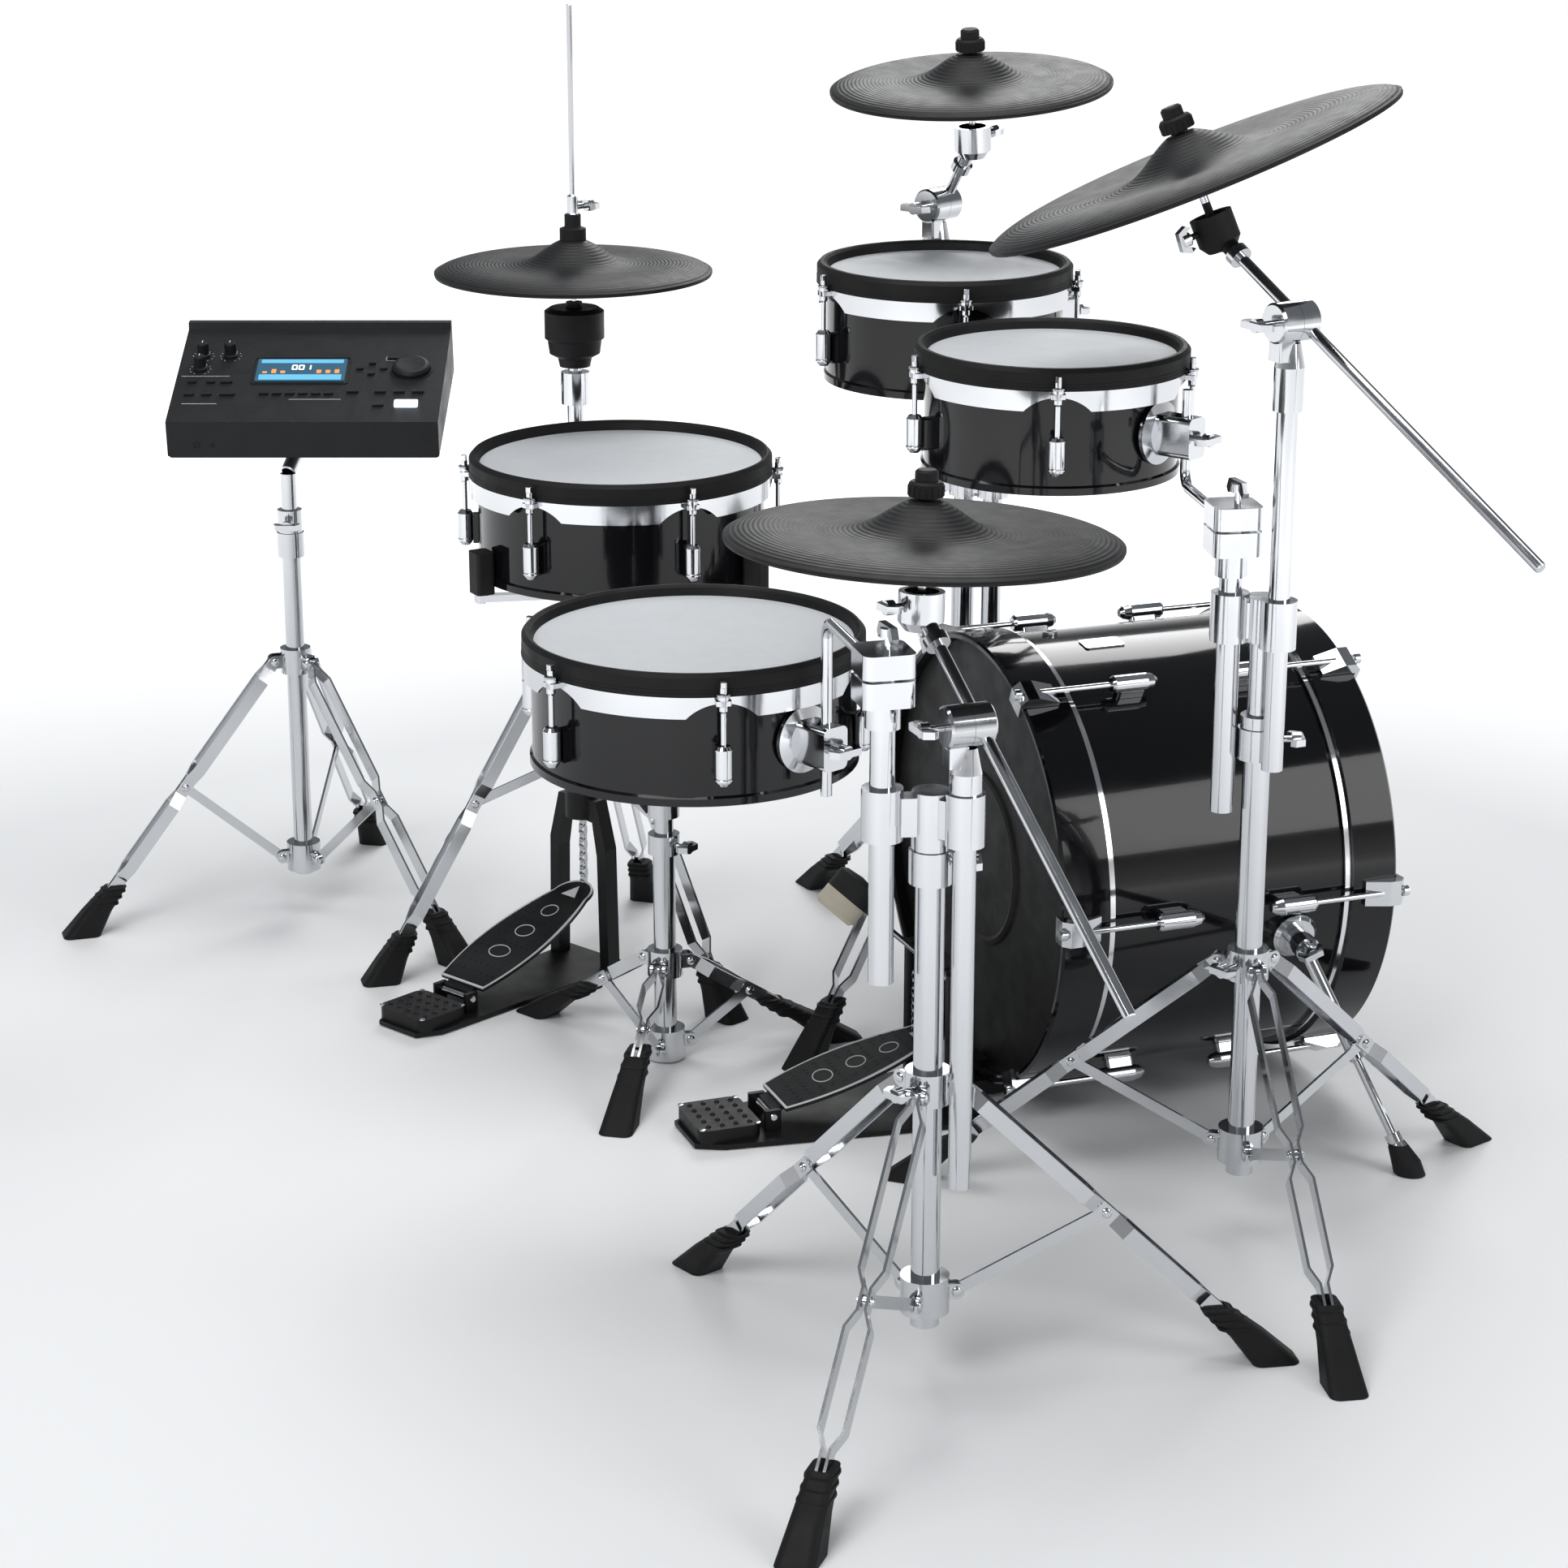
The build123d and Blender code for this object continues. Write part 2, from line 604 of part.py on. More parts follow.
with BuildPart() as hoop_clamp:
    with BuildSketch(Plane(kick_pedal.from_local_coords((-15, 0, 0)), x_dir=(0, 1, 0), z_dir=(1, 0, 0))):
        with BuildLine():
            Polyline(
                (30, 5), (30, 14), (13, 22), (13, 46), (-11, 46), (-11, 38), (5, 36), (5, 21.5),
                (-34, 21.5),
                (-34, 5), close=True,
            )
        make_face()
    extrude(amount=30)
pedal_base = gathered(
    heel_and_base(kick_pedal, KICK_HINGE_Y, 82, 46, 20), *posts, hoop_clamp.part,
    block(Plane(kick_pedal.from_local_coords((0, 26, 5.5))), 126, 26, 7, 3),
)
saved("kick_pedal_frame", pedal_base)
board, chain = footboard(kick_pedal, KICK_HINGE_Y, 40.0, 77.0, KICK_AXLE[0] + CAM_R + 3 + GAP, KICK_AXLE[1])
saved("kick_pedal_footboard", board, chain)
lean = radians(BEATER_LEAN)
shaft_dir = Vector(0, sin(lean), cos(lean))
swing_dir = Vector(0, -cos(lean), sin(lean))
beater_at = axle_at + shaft_dir * BEATER_REACH
axle = rod(axle_at - Vector(70, 0, 0), axle_at + Vector(70, 0, 0), AXLE_R)
across_axle = Plane(axle_at, z_dir=(1, 0, 0))
cam = [ring(across_axle, CAM_R, AXLE_R - 1, low, low + 2.5) for low in (-7.7, 5.2)]
cam.append(ring(across_axle, CAM_R / 2, AXLE_R - 1, -7, 7))
hub = rod(axle_at + Vector(8, 0, 0), axle_at + Vector(30, 0, 0), 11)
holder = rod(axle_at - Vector(24, 0, 0), axle_at - Vector(8, 0, 0), 11)
shaft = rod(axle_at - shaft_dir * BEATER_TAIL, beater_at, 3.2)
head = turned(
    Plane(beater_at - swing_dir * 24, z_dir=swing_dir), (0, 0), (20, 0), (24, 4), (24, 42),
    (18, 46), (0, 48),
)
saved("kick_pedal_beater", gathered(axle, *cam, hub, holder, shaft, head))

# ---- hi-hat ----------------------------------------------------------------------------
HAT_PEDAL_TURN = 117.3  # direction from the tube to the heel, in the floor plane
HAT_HINGE_Y = 205.0
HAT_FRAME_TOP = 214.0
ROD_FOOT = 180.5
SENSOR_R = 33.0
hat_x, hat_y = TRIPODS["hihat_stand"][:2]
hat_tube = TRIPODS["hihat_stand"][6]
heel_dir = Vector(cos(radians(HAT_PEDAL_TURN)), sin(radians(HAT_PEDAL_TURN)), 0)
hat_pedal = Plane(at(hat_x, hat_y), x_dir=heel_dir.cross(Vector(0, 0, 1)), z_dir=(0, 0, 1))
hat_posts = []
for hand in (-1, 1):
    with BuildPart() as post:
        with BuildSketch(
            Plane(hat_pedal.from_local_coords((0, -9, 0)), x_dir=hat_pedal.x_dir * -1, z_dir=heel_dir)
        ):
            with BuildLine():
                Polyline(
                    (hand * 48, 5), (hand * 34, 5), (hand * 31, 140), (hand * 24, 180), (0, 182),
                    (0, HAT_FRAME_TOP - 6),
                    (hand * 30, HAT_FRAME_TOP - 8), (hand * 45, 150), close=True,
                )
            make_face()
        extrude(amount=18)
    hat_posts.append(post.part)
with BuildPart() as hat_frame:
    add(heel_and_base(hat_pedal, HAT_HINGE_Y, 50, 44, -24))
    add(hat_posts)
    add(turned(Plane(at(hat_x, hat_y)), (0, 182), (20, 182), (20, HAT_FRAME_TOP), (0, HAT_FRAME_TOP)))
    with BuildSketch(Plane(at(hat_x, hat_y, 160))):
        Circle(hat_tube + FIT)
    extrude(amount=90, mode=Mode.SUBTRACT)
saved("hihat_pedal_frame", hat_frame.part)
board, chain = footboard(hat_pedal, HAT_HINGE_Y, -6.0, 93.0, 0.0, ROD_FOOT - GAP)
saved("hihat_footboard", board, chain)
TUBE_TOP = 664.0
upper_r = hat_tube - TUBE_WALL - FIT
hat_solids = tripods["hihat_stand"] + [
    pipe(at(hat_x, hat_y, 180), at(hat_x, hat_y, TUBE_TOP), hat_tube),
    pipe(at(hat_x, hat_y, TUBE_TOP - 60), at(hat_x, hat_y, 706), upper_r),
    ring(Plane(at(hat_x, hat_y)), 16, upper_r, TUBE_TOP + GAP, 700),
    wing_bolt(Plane(at(hat_x, hat_y, 682) + Vector(13.8, -3.5, 0), z_dir=(0.97, -0.25, 0)), 14, 15),
]
saved("hihat_stand", *hat_solids)
saved("hihat_sensor", turned(
    Plane(at(hat_x, hat_y)), (HIHAT_ROD_R + 1.5, 706 + GAP), (17, 706 + GAP), (19, 716), (28, 721),
    (30, 736), (SENSOR_R, 738),
    (SENSOR_R, 768), (SENSOR_R - 6, 772), (9, 772), (9, 778), (HIHAT_ROD_R + 1.5, 778),
))
hat_plane = Plane(at(hat_x, hat_y, HIHAT_HEIGHT))
clutch = turned(
    Plane(at(hat_x, hat_y)), (0, ROD_FOOT), (HIHAT_ROD_R, ROD_FOOT),
    (HIHAT_ROD_R, HIHAT_HEIGHT + 12), (9, HIHAT_HEIGHT + 13),
    (9, HIHAT_HEIGHT + 30.4), (5.6, HIHAT_HEIGHT + 30.4), (5.6, HIHAT_HEIGHT + 34.6),
    (14.5, HIHAT_HEIGHT + 34.6),
    (14.5, HIHAT_HEIGHT + 47), (9, HIHAT_HEIGHT + 49), (9, HIHAT_HEIGHT + 62), (6, HIHAT_HEIGHT + 64),
    (6, HIHAT_HEIGHT + 82), (HIHAT_ROD_R, HIHAT_HEIGHT + 84), (HIHAT_ROD_R, HIHAT_ROD_TOP - 1),
    (HIHAT_ROD_R - 1, HIHAT_ROD_TOP), (0, HIHAT_ROD_TOP),
)
clutch_screw = wing_bolt(
    Plane(at(hat_x, hat_y, HIHAT_HEIGHT + 70) + Vector(2, -5, 0), z_dir=(0.35, -0.94, 0)), 14, 15,
)
saved("hihat_rod_and_clutch", gathered(clutch, clutch_screw))


def cymbal_shape(plane, radius, hole):
    """A bell, a gently bowed plate and a thick soft edge."""
    under = CYMBAL_THICK
    rise = CYMBAL_EDGE / 2
    with BuildPart() as disc:
        with BuildSketch(Plane(plane.origin, plane.x_dir, -plane.y_dir)):
            with BuildLine():
                Line((hole, BOW_RISE + BELL_RISE + rise), (13, BOW_RISE + BELL_RISE + rise))
                Spline(
                    (13, BOW_RISE + BELL_RISE + rise), (BELL_R * 0.62, BOW_RISE + BELL_RISE * 0.55 + rise),
                    (BELL_R, BOW_RISE + rise), (radius * 0.62, BOW_RISE * 0.52 + rise), (radius - 5, rise),
                )
                Polyline((radius - 5, rise), (radius, rise - 3), (radius, -rise), (radius - 9, -rise - 0.5))
                Spline(
                    (radius - 9, -rise - 0.5), (radius * 0.62, BOW_RISE * 0.40 + rise - under),
                    (BELL_R, BOW_RISE + rise - under - 1),
                    (BELL_R * 0.6, BOW_RISE + BELL_RISE * 0.5 + rise - under - 1),
                    (13, BOW_RISE + BELL_RISE + rise - under),
                )
                Line((13, BOW_RISE + BELL_RISE + rise - under), (hole, BOW_RISE + BELL_RISE + rise - under))
                Line((hole, BOW_RISE + BELL_RISE + rise - under), (hole, BOW_RISE + BELL_RISE + rise))
            make_face()
        revolve(axis=Axis(plane.origin, plane.z_dir))
    return disc.part


saved("hihat_cymbal", cymbal_shape(hat_plane, HIHAT_R, 5.6 + FIT))


# ---- cymbal stands, booms and cymbals --------------------------------------------------
CLAMP_HEIGHT = 46.0
BARREL_R = 18.5
BARREL_HALF = 21.0
BOOM_R = 5.5
BOOM_OFFSET = 11.0  # the boom rod lies beside the seam of the tilter barrel
STEM_BELOW = 62.0  # from the middle of a cymbal down to its stem joint
STANDS = {
    # stand: (cymbal, barrel x, y, z, boom tube foot z, rod length below the barrel,
    #         tom, tom tube x, y, foot z, holder z, clamp z, collar z)
    "front_stand": (
        "ride", -642.3, 284.1, 620.0, 202.0, 300.0, "floor_tom", -604.0, 344.0, 386.0, 660.0,
        538.0, 505.0,
    ),
    "right_stand": (
        "crash_right", -443.0, -111.0, 898.0, 478.0, 340.0, "tom_2", -402.0, -82.0, 429.0, 703.0,
        618.0, 511.0,
    ),
    "rear_stand": (
        "crash_left", 358.0, -105.0, 886.0, 470.0, 195.0, "tom_1", 307.0, -154.0, 415.0, 661.0,
        590.0, 505.0,
    ),
}
TOM_BRACKETS = {
    # tom: direction of its bracket from the drum's axis
    "floor_tom": -159.0,
    "tom_2": -150.0,
    "tom_1": -75.0,
}


def tilter(name):
    """The neck and fixed half of a tilter, its wing bolt, and the boom that it grips."""
    cymbal, bx, by, bz, foot, below = STANDS[name][:6]
    cx, cy, cz, radius, lean_x, lean_y = CYMBALS[cymbal]
    normal = Vector(lean_x, lean_y, 1).normalized()
    barrel = at(bx, by, bz)
    joint = at(cx, cy, cz) - normal * STEM_BELOW
    away = Vector(joint.X - barrel.X, joint.Y - barrel.Y, 0)
    pin = away.cross(Vector(0, 0, 1)).normalized()
    if pin.Y > 0:
        pin = pin * -1
    through = barrel + pin * BOOM_OFFSET
    aim = (joint - through).normalized()
    neck_top = bz - BARREL_R - GAP
    boom_tube = pipe(at(bx, by, foot), at(bx, by, neck_top - 38), BOOM_TUBE_R)
    with BuildPart() as neck:
        add(turned(
            Plane(at(bx, by, neck_top - 38 - 24)), (BOOM_TUBE_R + FIT, 0), (BOOM_TUBE_R + 4, 0),
            (BOOM_TUBE_R + 4, 40),
            (9.5, 62), (0, 62), (0, 24 + FIT), (BOOM_TUBE_R + FIT, 24 + FIT),
        ))
        add(block(Plane(at(bx, by, neck_top - 16) - pin * 9.5, x_dir=pin), 18, 17, 16 + BARREL_R * 0.4, 2))
        add(turned(
            Plane(barrel - pin * BARREL_HALF, z_dir=pin), (0, 0), (BARREL_R - 2, 0), (BARREL_R, 2),
            (BARREL_R, BARREL_HALF - GAP), (0, BARREL_HALF - GAP),
        ))
    bolt = wing_bolt(Plane(barrel - pin * (BARREL_HALF + GAP), z_dir=pin * -1), 15, 19)
    half = turned(
        Plane(barrel, z_dir=pin), (0, 0), (BARREL_R, 0), (BARREL_R, BARREL_HALF - 2),
        (BARREL_R - 2, BARREL_HALF),
        (0, BARREL_HALF),
    )
    span = (joint - through).length
    near = through + aim * (span - 16)
    with BuildPart() as boom:
        add(rod(through - aim * below, near, BOOM_R))
        add(half)
        add(turned(
            Plane(near - aim * 22, z_dir=aim), (0, 0), (11, 0), (11, 9), (8, 9.5), (8, 22),
            (10.5, 23), (10.5, 34), (0, 34),
        ))
        add(turned(
            Plane(joint - normal * 16, z_dir=normal), (0, 0), (14, 0), (20, 8), (20, 34), (15, 34),
            (15, 10), (0, 10),
        ))
        add(rod(joint - normal * 8, joint + normal * (STEM_BELOW + BOW_RISE + BELL_RISE + 20), STEM_R))
        add(turned(
            Plane(
                joint + normal * (STEM_BELOW + BOW_RISE + BELL_RISE - 11.3), z_dir=normal,
            ), (0, 0), (13, 0), (13, 7), (8, 10), (0, 10),
        ))
    clamp_bolt = wing_bolt(
        Plane(joint + normal * 6 - aim.cross(normal).normalized() * 19.5, z_dir=aim.cross(normal) * -1),
        10, 13,
    )
    return boom_tube, neck.part, bolt, gathered(boom.part, clamp_bolt), normal


def seated_cymbal(name, normal):
    """Saves the cymbal, and gives the nut above it, which belongs to the stem."""
    x, y, z, radius = CYMBALS[name][:4]
    plane = Plane(at(x, y, z), z_dir=normal)
    top = BOW_RISE + BELL_RISE + CYMBAL_EDGE / 2
    saved(name + "_cymbal", cymbal_shape(plane, radius, STEM_R + 0.6))
    return turned(
        plane, (0, top + 0.8), (8, top + 0.8), (8, top + 3), (15, top + 3), (15, top + 14), (13, top + 16),
        (10, top + 16), (10, top + 24), (8, top + 26), (0, top + 26),
    )


def tom_mount(name, stand):
    """Holder on the tom tube and the cranked rod with its bracket on the drum."""
    tube_x, tube_y, foot, holder_z = STANDS[stand][7:11]
    centre, head, outer, shell, lugs, first = drum_sizes(name)
    turn = radians(TOM_BRACKETS[name])
    out = Vector(cos(turn), sin(turn), 0)
    ball = at(tube_x, tube_y, holder_z)
    tube = pipe(at(tube_x, tube_y, foot), at(tube_x, tube_y, holder_z - 30), TOM_TUBE_R)
    post = centre + out * (outer + 24)
    mid_z = centre.Z - 62
    drop = Vector(post.X, post.Y, holder_z)
    toward = Vector(drop.X - ball.X, drop.Y - ball.Y, 0).normalized()
    ball_r = 15.0
    shell_half = []
    for low, high, size in ((-24, -1.2, 1), (1.2, 22, 1)):
        with BuildPart() as jaw:
            add(block(Plane(ball + Vector(0, 0, low), x_dir=toward), 50, 46, high - low, 9))
            with Locations(ball):
                Sphere(ball_r + GAP, mode=Mode.SUBTRACT)
            with BuildSketch(Plane(ball, z_dir=toward)):
                Circle(11)
            extrude(amount=40, mode=Mode.SUBTRACT)
        shell_half.append(jaw.part)
    socket = turned(
        Plane(ball), (TOM_TUBE_R + FIT, -46), (TOM_TUBE_R + 4.5, -46), (TOM_TUBE_R + 4.5, -24),
        (0, -24), (0, -30), (TOM_TUBE_R + FIT, -30),
    )
    holder_bolt = wing_bolt(Plane(ball + Vector(0, 0, 22) - toward * 12), 14, 17)
    up = 1 if mid_z > holder_z else -1
    end = Vector(post.X, post.Y, mid_z + up * 46)
    with BuildPart() as arm:
        with Locations(ball):
            Sphere(ball_r)
        add(bent(5.2, ball - toward * 10, drop, end, bend=16))
        flange = Plane(
            centre + out * (shell + GAP) + Vector(0, 0, mid_z - centre.Z), x_dir=(0, 0, 1),
            z_dir=out,
        )
        add(turned(flange, (0, 0), (31, 0), (31, 4), (20, 7), (0, 7)))
        add(block(flange, 40, 28, outer + 24 - shell + 12, 6))
        add(wing_bolt(Plane(post + Vector(0, 0, mid_z - centre.Z) + out * 10, z_dir=out), 12, 17))
    saved(name + "_arm", arm.part)
    return tube, [gathered(shell_half[0], socket), shell_half[1], holder_bolt]


def multi_clamp(x, y, z, arms):
    """A clamp on the stand's inner tube with one sleeve for each side tube."""
    with BuildPart() as clamp:
        core = Plane(at(x, y, z - CLAMP_HEIGHT / 2))
        add(turned(core, (0, 0), (17, 0), (17, CLAMP_HEIGHT - 4), (0, CLAMP_HEIGHT - 4)))
        for arm_x, arm_y, radius in arms:
            middle = at((x + arm_x) / 2, (y + arm_y) / 2, z - CLAMP_HEIGHT / 2 + 4)
            reach = Vector(arm_x - x, arm_y - y, 0)
            add(block(Plane(middle, x_dir=reach), reach.length, 20, CLAMP_HEIGHT - 12, 3))
            add(turned(
                Plane(at(arm_x, arm_y, z - CLAMP_HEIGHT / 2)), (0, 0), (radius + 7, 0),
                (radius + 7, CLAMP_HEIGHT), (0, CLAMP_HEIGHT),
            ))
        for arm_x, arm_y, radius in arms:
            with BuildSketch(Plane(at(arm_x, arm_y, z - CLAMP_HEIGHT))):
                Circle(radius + FIT)
            extrude(amount=2 * CLAMP_HEIGHT, mode=Mode.SUBTRACT)
    return clamp.part


for stand, facts in STANDS.items():
    x, y, reach, first, low, high, tube = TRIPODS[stand]
    cymbal, bx, by, bz, boom_foot, below, tom, tx, ty, tom_foot, holder_z, clamp_z, collar_z = facts
    boom_tube, neck, bolt, boom, normal = tilter(stand)
    tom_tube, holder = tom_mount(tom, stand)
    clamp = multi_clamp(x, y, clamp_z, ((bx, by, BOOM_TUBE_R), (tx, ty, TOM_TUBE_R)))
    inner_r = tube - TUBE_WALL - FIT
    solids = tripods[stand] + [
        pipe(at(x, y, low - 30), at(x, y, collar_z), tube),
        pipe(at(x, y, collar_z - 80), at(x, y, clamp_z - CLAMP_HEIGHT / 2 - 0.1), inner_r),
        ring(Plane(at(x, y, collar_z)), tube + 6, tube + FIT, -30, 0),
        ring(Plane(at(x, y, collar_z)), tube + 4, inner_r + FIT, 0.1, 12),
        wing_bolt(
            Plane(at(x, y, collar_z - 12) + Vector(0.35, 0.94, 0) * -(tube + 6.2), z_dir=(-0.35, -0.94, 0)),
            14, 17,
        ),
        wing_bolt(
            Plane(at(x, y, high) + Vector(-0.35, 0.94, 0) * (tube + 7.2), z_dir=(-0.35, 0.94, 0)),
            12, 15,
        ),
        boom_tube, neck, bolt, tom_tube, clamp, *holder,
    ]
    saved(stand, *solids)
    nut = seated_cymbal(cymbal, normal)
    saved(cymbal + "_boom", gathered(boom, nut))


# ---- snare stand -----------------------------------------------------------------------
x, y, reach, first, low, high, tube = TRIPODS["snare_stand"]
snare_centre, snare_head, snare_outer, snare_shell = drum_sizes("snare")[:4]
tilt_at = at(x, y, 462)
offset = Vector(snare_centre.X - tilt_at.X, snare_centre.Y - tilt_at.Y, 0).normalized()
tilt_pin = Vector(-offset.Y, offset.X, 0)
inner_r = tube - TUBE_WALL - FIT
fork = [turned(Plane(at(x, y, 440)), (0, 0), (inner_r + 2, 0), (inner_r + 2, 8), (0, 8))]
for hand in (-1, 1):
    cheek = Plane(
        tilt_at + tilt_pin * hand * (10 + GAP) - Vector(0, 0, 7), x_dir=offset,
        z_dir=tilt_pin * hand,
    )
    fork.append(block(cheek, 18, 30, 5, 4))
fork.append(rod(tilt_at - tilt_pin * 16, tilt_at + tilt_pin * 16, 4))
saved("snare_stand", *tripods["snare_stand"], pipe(at(x, y, 3), at(x, y, 236), tube),
      pipe(at(x, y, 170), at(x, y, 440 - 0.1), inner_r), ring(
          Plane(at(x, y)), tube + 5, inner_r + FIT, 236.1, 258,
      ),
      ring(Plane(at(x, y)), 17, inner_r, 278, 299), gathered(*fork),
      wing_bolt(Plane(at(x, y, 247) - offset * (tube + 5.2), z_dir=offset * -1), 10, 14),
      wing_bolt(Plane(tilt_at - tilt_pin * 16.1, z_dir=tilt_pin * -1), 8, 14))
BASKET_ARMS = (99.8, 219.8, 339.8)
hub_z = snare_centre.Z - DRUM_DEPTH - 34
hub_at = Vector(snare_centre.X, snare_centre.Y, hub_z)
basket = [
    ring(Plane(tilt_at - tilt_pin * 10, z_dir=tilt_pin), 9, 4 + FIT, 0, 20),
    rod(tilt_at + (hub_at - tilt_at).normalized() * 7, hub_at + Vector(0, 0, 4), 6),
    turned(Plane(hub_at), (0, 0), (20, 0), (20, 14), (0, 14)),
]
tips = []
for turn in BASKET_ARMS:
    out = Vector(cos(radians(turn)), sin(radians(turn)), 0)
    start = hub_at + out * 10 + Vector(0, 0, 7)
    elbow = hub_at + out * (snare_shell + 16) + Vector(0, 0, 22)
    tip_base = elbow + Vector(0, 0, 6)
    with BuildPart() as arm:
        with BuildSketch(Plane(start, x_dir=(0, 0, 1), z_dir=elbow - start)):
            Rectangle(7, 13)
        extrude(amount=(elbow - start).length)
    basket.append(arm.part)
    basket.append(block(Plane(elbow - Vector(0, 0, 5), x_dir=out), 8, 13, 30, 2))
    with BuildPart() as tip:
        add(block(Plane(elbow + Vector(0, 0, 5) - out * 3, x_dir=out), 20, 24, 44, 4))
        with BuildSketch(Plane(elbow - Vector(0, 0, 6), x_dir=out)):
            Rectangle(8.6, 13.6)
        extrude(amount=32, mode=Mode.SUBTRACT)
        with BuildSketch(Plane(snare_centre - Vector(0, 0, DRUM_DEPTH + 20))):
            Circle(snare_shell + 2.5 + GAP)
        extrude(amount=90, mode=Mode.SUBTRACT)
    tips.append(tip.part)
saved("snare_basket", gathered(*basket), *tips)

# ---- sound module ----------------------------------------------------------------------
facing = Vector(cos(radians(MODULE_TURN)), sin(radians(MODULE_TURN)), 0)
tilt = radians(MODULE_TILT)
module_y = facing * -cos(tilt) + Vector(0, 0, sin(tilt))
module_x = Vector(facing.Y, -facing.X, 0) * -1
module = Plane(at(*MODULE_AT), x_dir=module_x, z_dir=module_x.cross(module_y))
width, depth = MODULE_SIZE
front_y, back_y = -depth / 2, depth / 2
WALL = 3.0
outline = [
    (front_y, 2.5), (front_y + 4, MODULE_FRONT), (back_y - 14, MODULE_BACK), (back_y - 11, MODULE_BACK + 8),
    (back_y, MODULE_BACK + 6), (back_y, 2.5),
]
hollow = [
    (front_y + WALL, 2), (front_y + WALL + 4, MODULE_FRONT - WALL), (back_y - 14, MODULE_BACK - WALL),
    (back_y - WALL, MODULE_BACK - WALL), (back_y - WALL, 2),
]
side_plane = Plane(module.origin, x_dir=module.y_dir, z_dir=module.x_dir)
with BuildPart() as case:
    with BuildSketch(side_plane):
        with BuildLine():
            Polyline(*outline, close=True)
        make_face()
    extrude(amount=width / 2, both=True)
    with BuildSketch(side_plane):
        with BuildLine():
            Polyline(*hollow, close=True)
        make_face()
    extrude(amount=width / 2 - WALL, both=True, mode=Mode.SUBTRACT)
with BuildPart() as floor_plate:
    with BuildSketch(module):
        RectangleRounded(width - 2, depth - 2, 4)
    extrude(amount=2.4)
bracket_y = -10.0
pivot = module.from_local_coords((-20, bracket_y, -16))
lug_plate = gathered(
    block(Plane(module.from_local_coords((0, bracket_y, -3.2)), module.x_dir, module.z_dir), 130, 80, 3, 4),
    ring(Plane(pivot - module.x_dir * 12, z_dir=module.x_dir), 10, 4 + FIT, 0, 24),
    block(
        Plane(module.from_local_coords((-20, bracket_y, -8.5)), module.x_dir, module.z_dir), 24,
        12, 6, 2,
    ),
)
saved("module_case", case.part, floor_plate.part, lug_plate)
slope = atan2(MODULE_BACK - MODULE_FRONT, depth - 18)


def panel(x, y):
    """The plane of the sloping top panel at a place on it; Y is measured from mid depth."""
    height = MODULE_FRONT + (y - front_y - 4) * (MODULE_BACK - MODULE_FRONT) / (depth - 18)
    spot = module.from_local_coords((x, y, height + GAP))
    across = module.y_dir * cos(slope) + module.z_dir * sin(slope)
    return Plane(spot, x_dir=module.x_dir, z_dir=module.x_dir.cross(across))


saved("module_screen", block(panel(-12, 4), 104, 50, 1.6, 2))
buttons = [(-50 + 15 * n, -48, 11, 5) for n in range(6)]
buttons += [(-136 + 20 * n, -50, 12, 5) for n in range(2)] + [(-92, -50, 18, 5)]
buttons += [(-136, -22, 10, 5), (-114, -22, 10, 5), (-96, -22, 14, 5)]
buttons += [(52, -44, 14, 5), (84, -44, 13, 5), (106, -44, 13, 5), (128, -44, 14, 5), (84, -74, 13, 5)]
buttons += [(56, 10, 8, 8), (84, 10, 8, 8), (70, 22, 8, 8), (70, -2, 8, 8), (96, 32, 18, 5)]
saved("module_buttons", *[block(panel(bx, by), wide, tall, 2.4, 1.6) for bx, by, wide, tall in buttons])
saved("module_lit_button", block(panel(116, -72), 27, 13, 3, 2))
dial = panel(116, 6)
saved("module_dial", turned(dial, (0, 0), (22, 0), (22, 5), (20, 8), (17, 9), (6, 8.2), (0, 8)))
KNOBS = {"volume": (-130, 38), "mix": (-98, 38), "tone": (-130, 8)}
for name, place in KNOBS.items():
    saved("module_" + name + "_knob", turned(
        panel(*place), (0, 0), (8, 0), (8, 3), (6.4, 4), (5.8, 17), (5, 18), (0, 18),
    ))
x, y, reach, first, low, high, tube = TRIPODS["module_stand"]
inner_r = tube - TUBE_WALL - FIT
cheeks = []
for hand in (-1, 1):
    cheek = Plane(
        pivot + module.x_dir * hand * (12 + GAP) - Vector(0, 0, 9),
        x_dir=module.x_dir.cross(Vector(0, 0, 1)), z_dir=module.x_dir * hand,
    )
    cheeks.append(block(cheek, 20, 34, 4, 4))
cheeks.append(rod(pivot - module.x_dir * 17, pivot + module.x_dir * 17, 4))
yoke_top = at(x, y, 556)
cheeks.append(block(Plane(Vector(pivot.X, pivot.Y, pivot.Z - 28), x_dir=module.x_dir), 33, 20, 8, 2))
cheeks.append(rod(yoke_top - Vector(0, 0, 12), Vector(pivot.X, pivot.Y, pivot.Z - 22), 9))
saved("module_stand", *tripods["module_stand"], pipe(at(x, y, 50), at(x, y, 473), tube),
      pipe(at(x, y, 400), at(x, y, 543), inner_r), ring(Plane(at(x, y)), tube + 5, tube + FIT, 444, 473),
      ring(Plane(at(x, y)), tube + 3.5, inner_r + FIT, 473.1, 500), gathered(*cheeks),
      wing_bolt(Plane(at(x, y, 486) + facing * (tube + 3.7), z_dir=facing), 14, 16))
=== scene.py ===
import json
import math

import bmesh
import bpy
from mathutils import Matrix, Vector


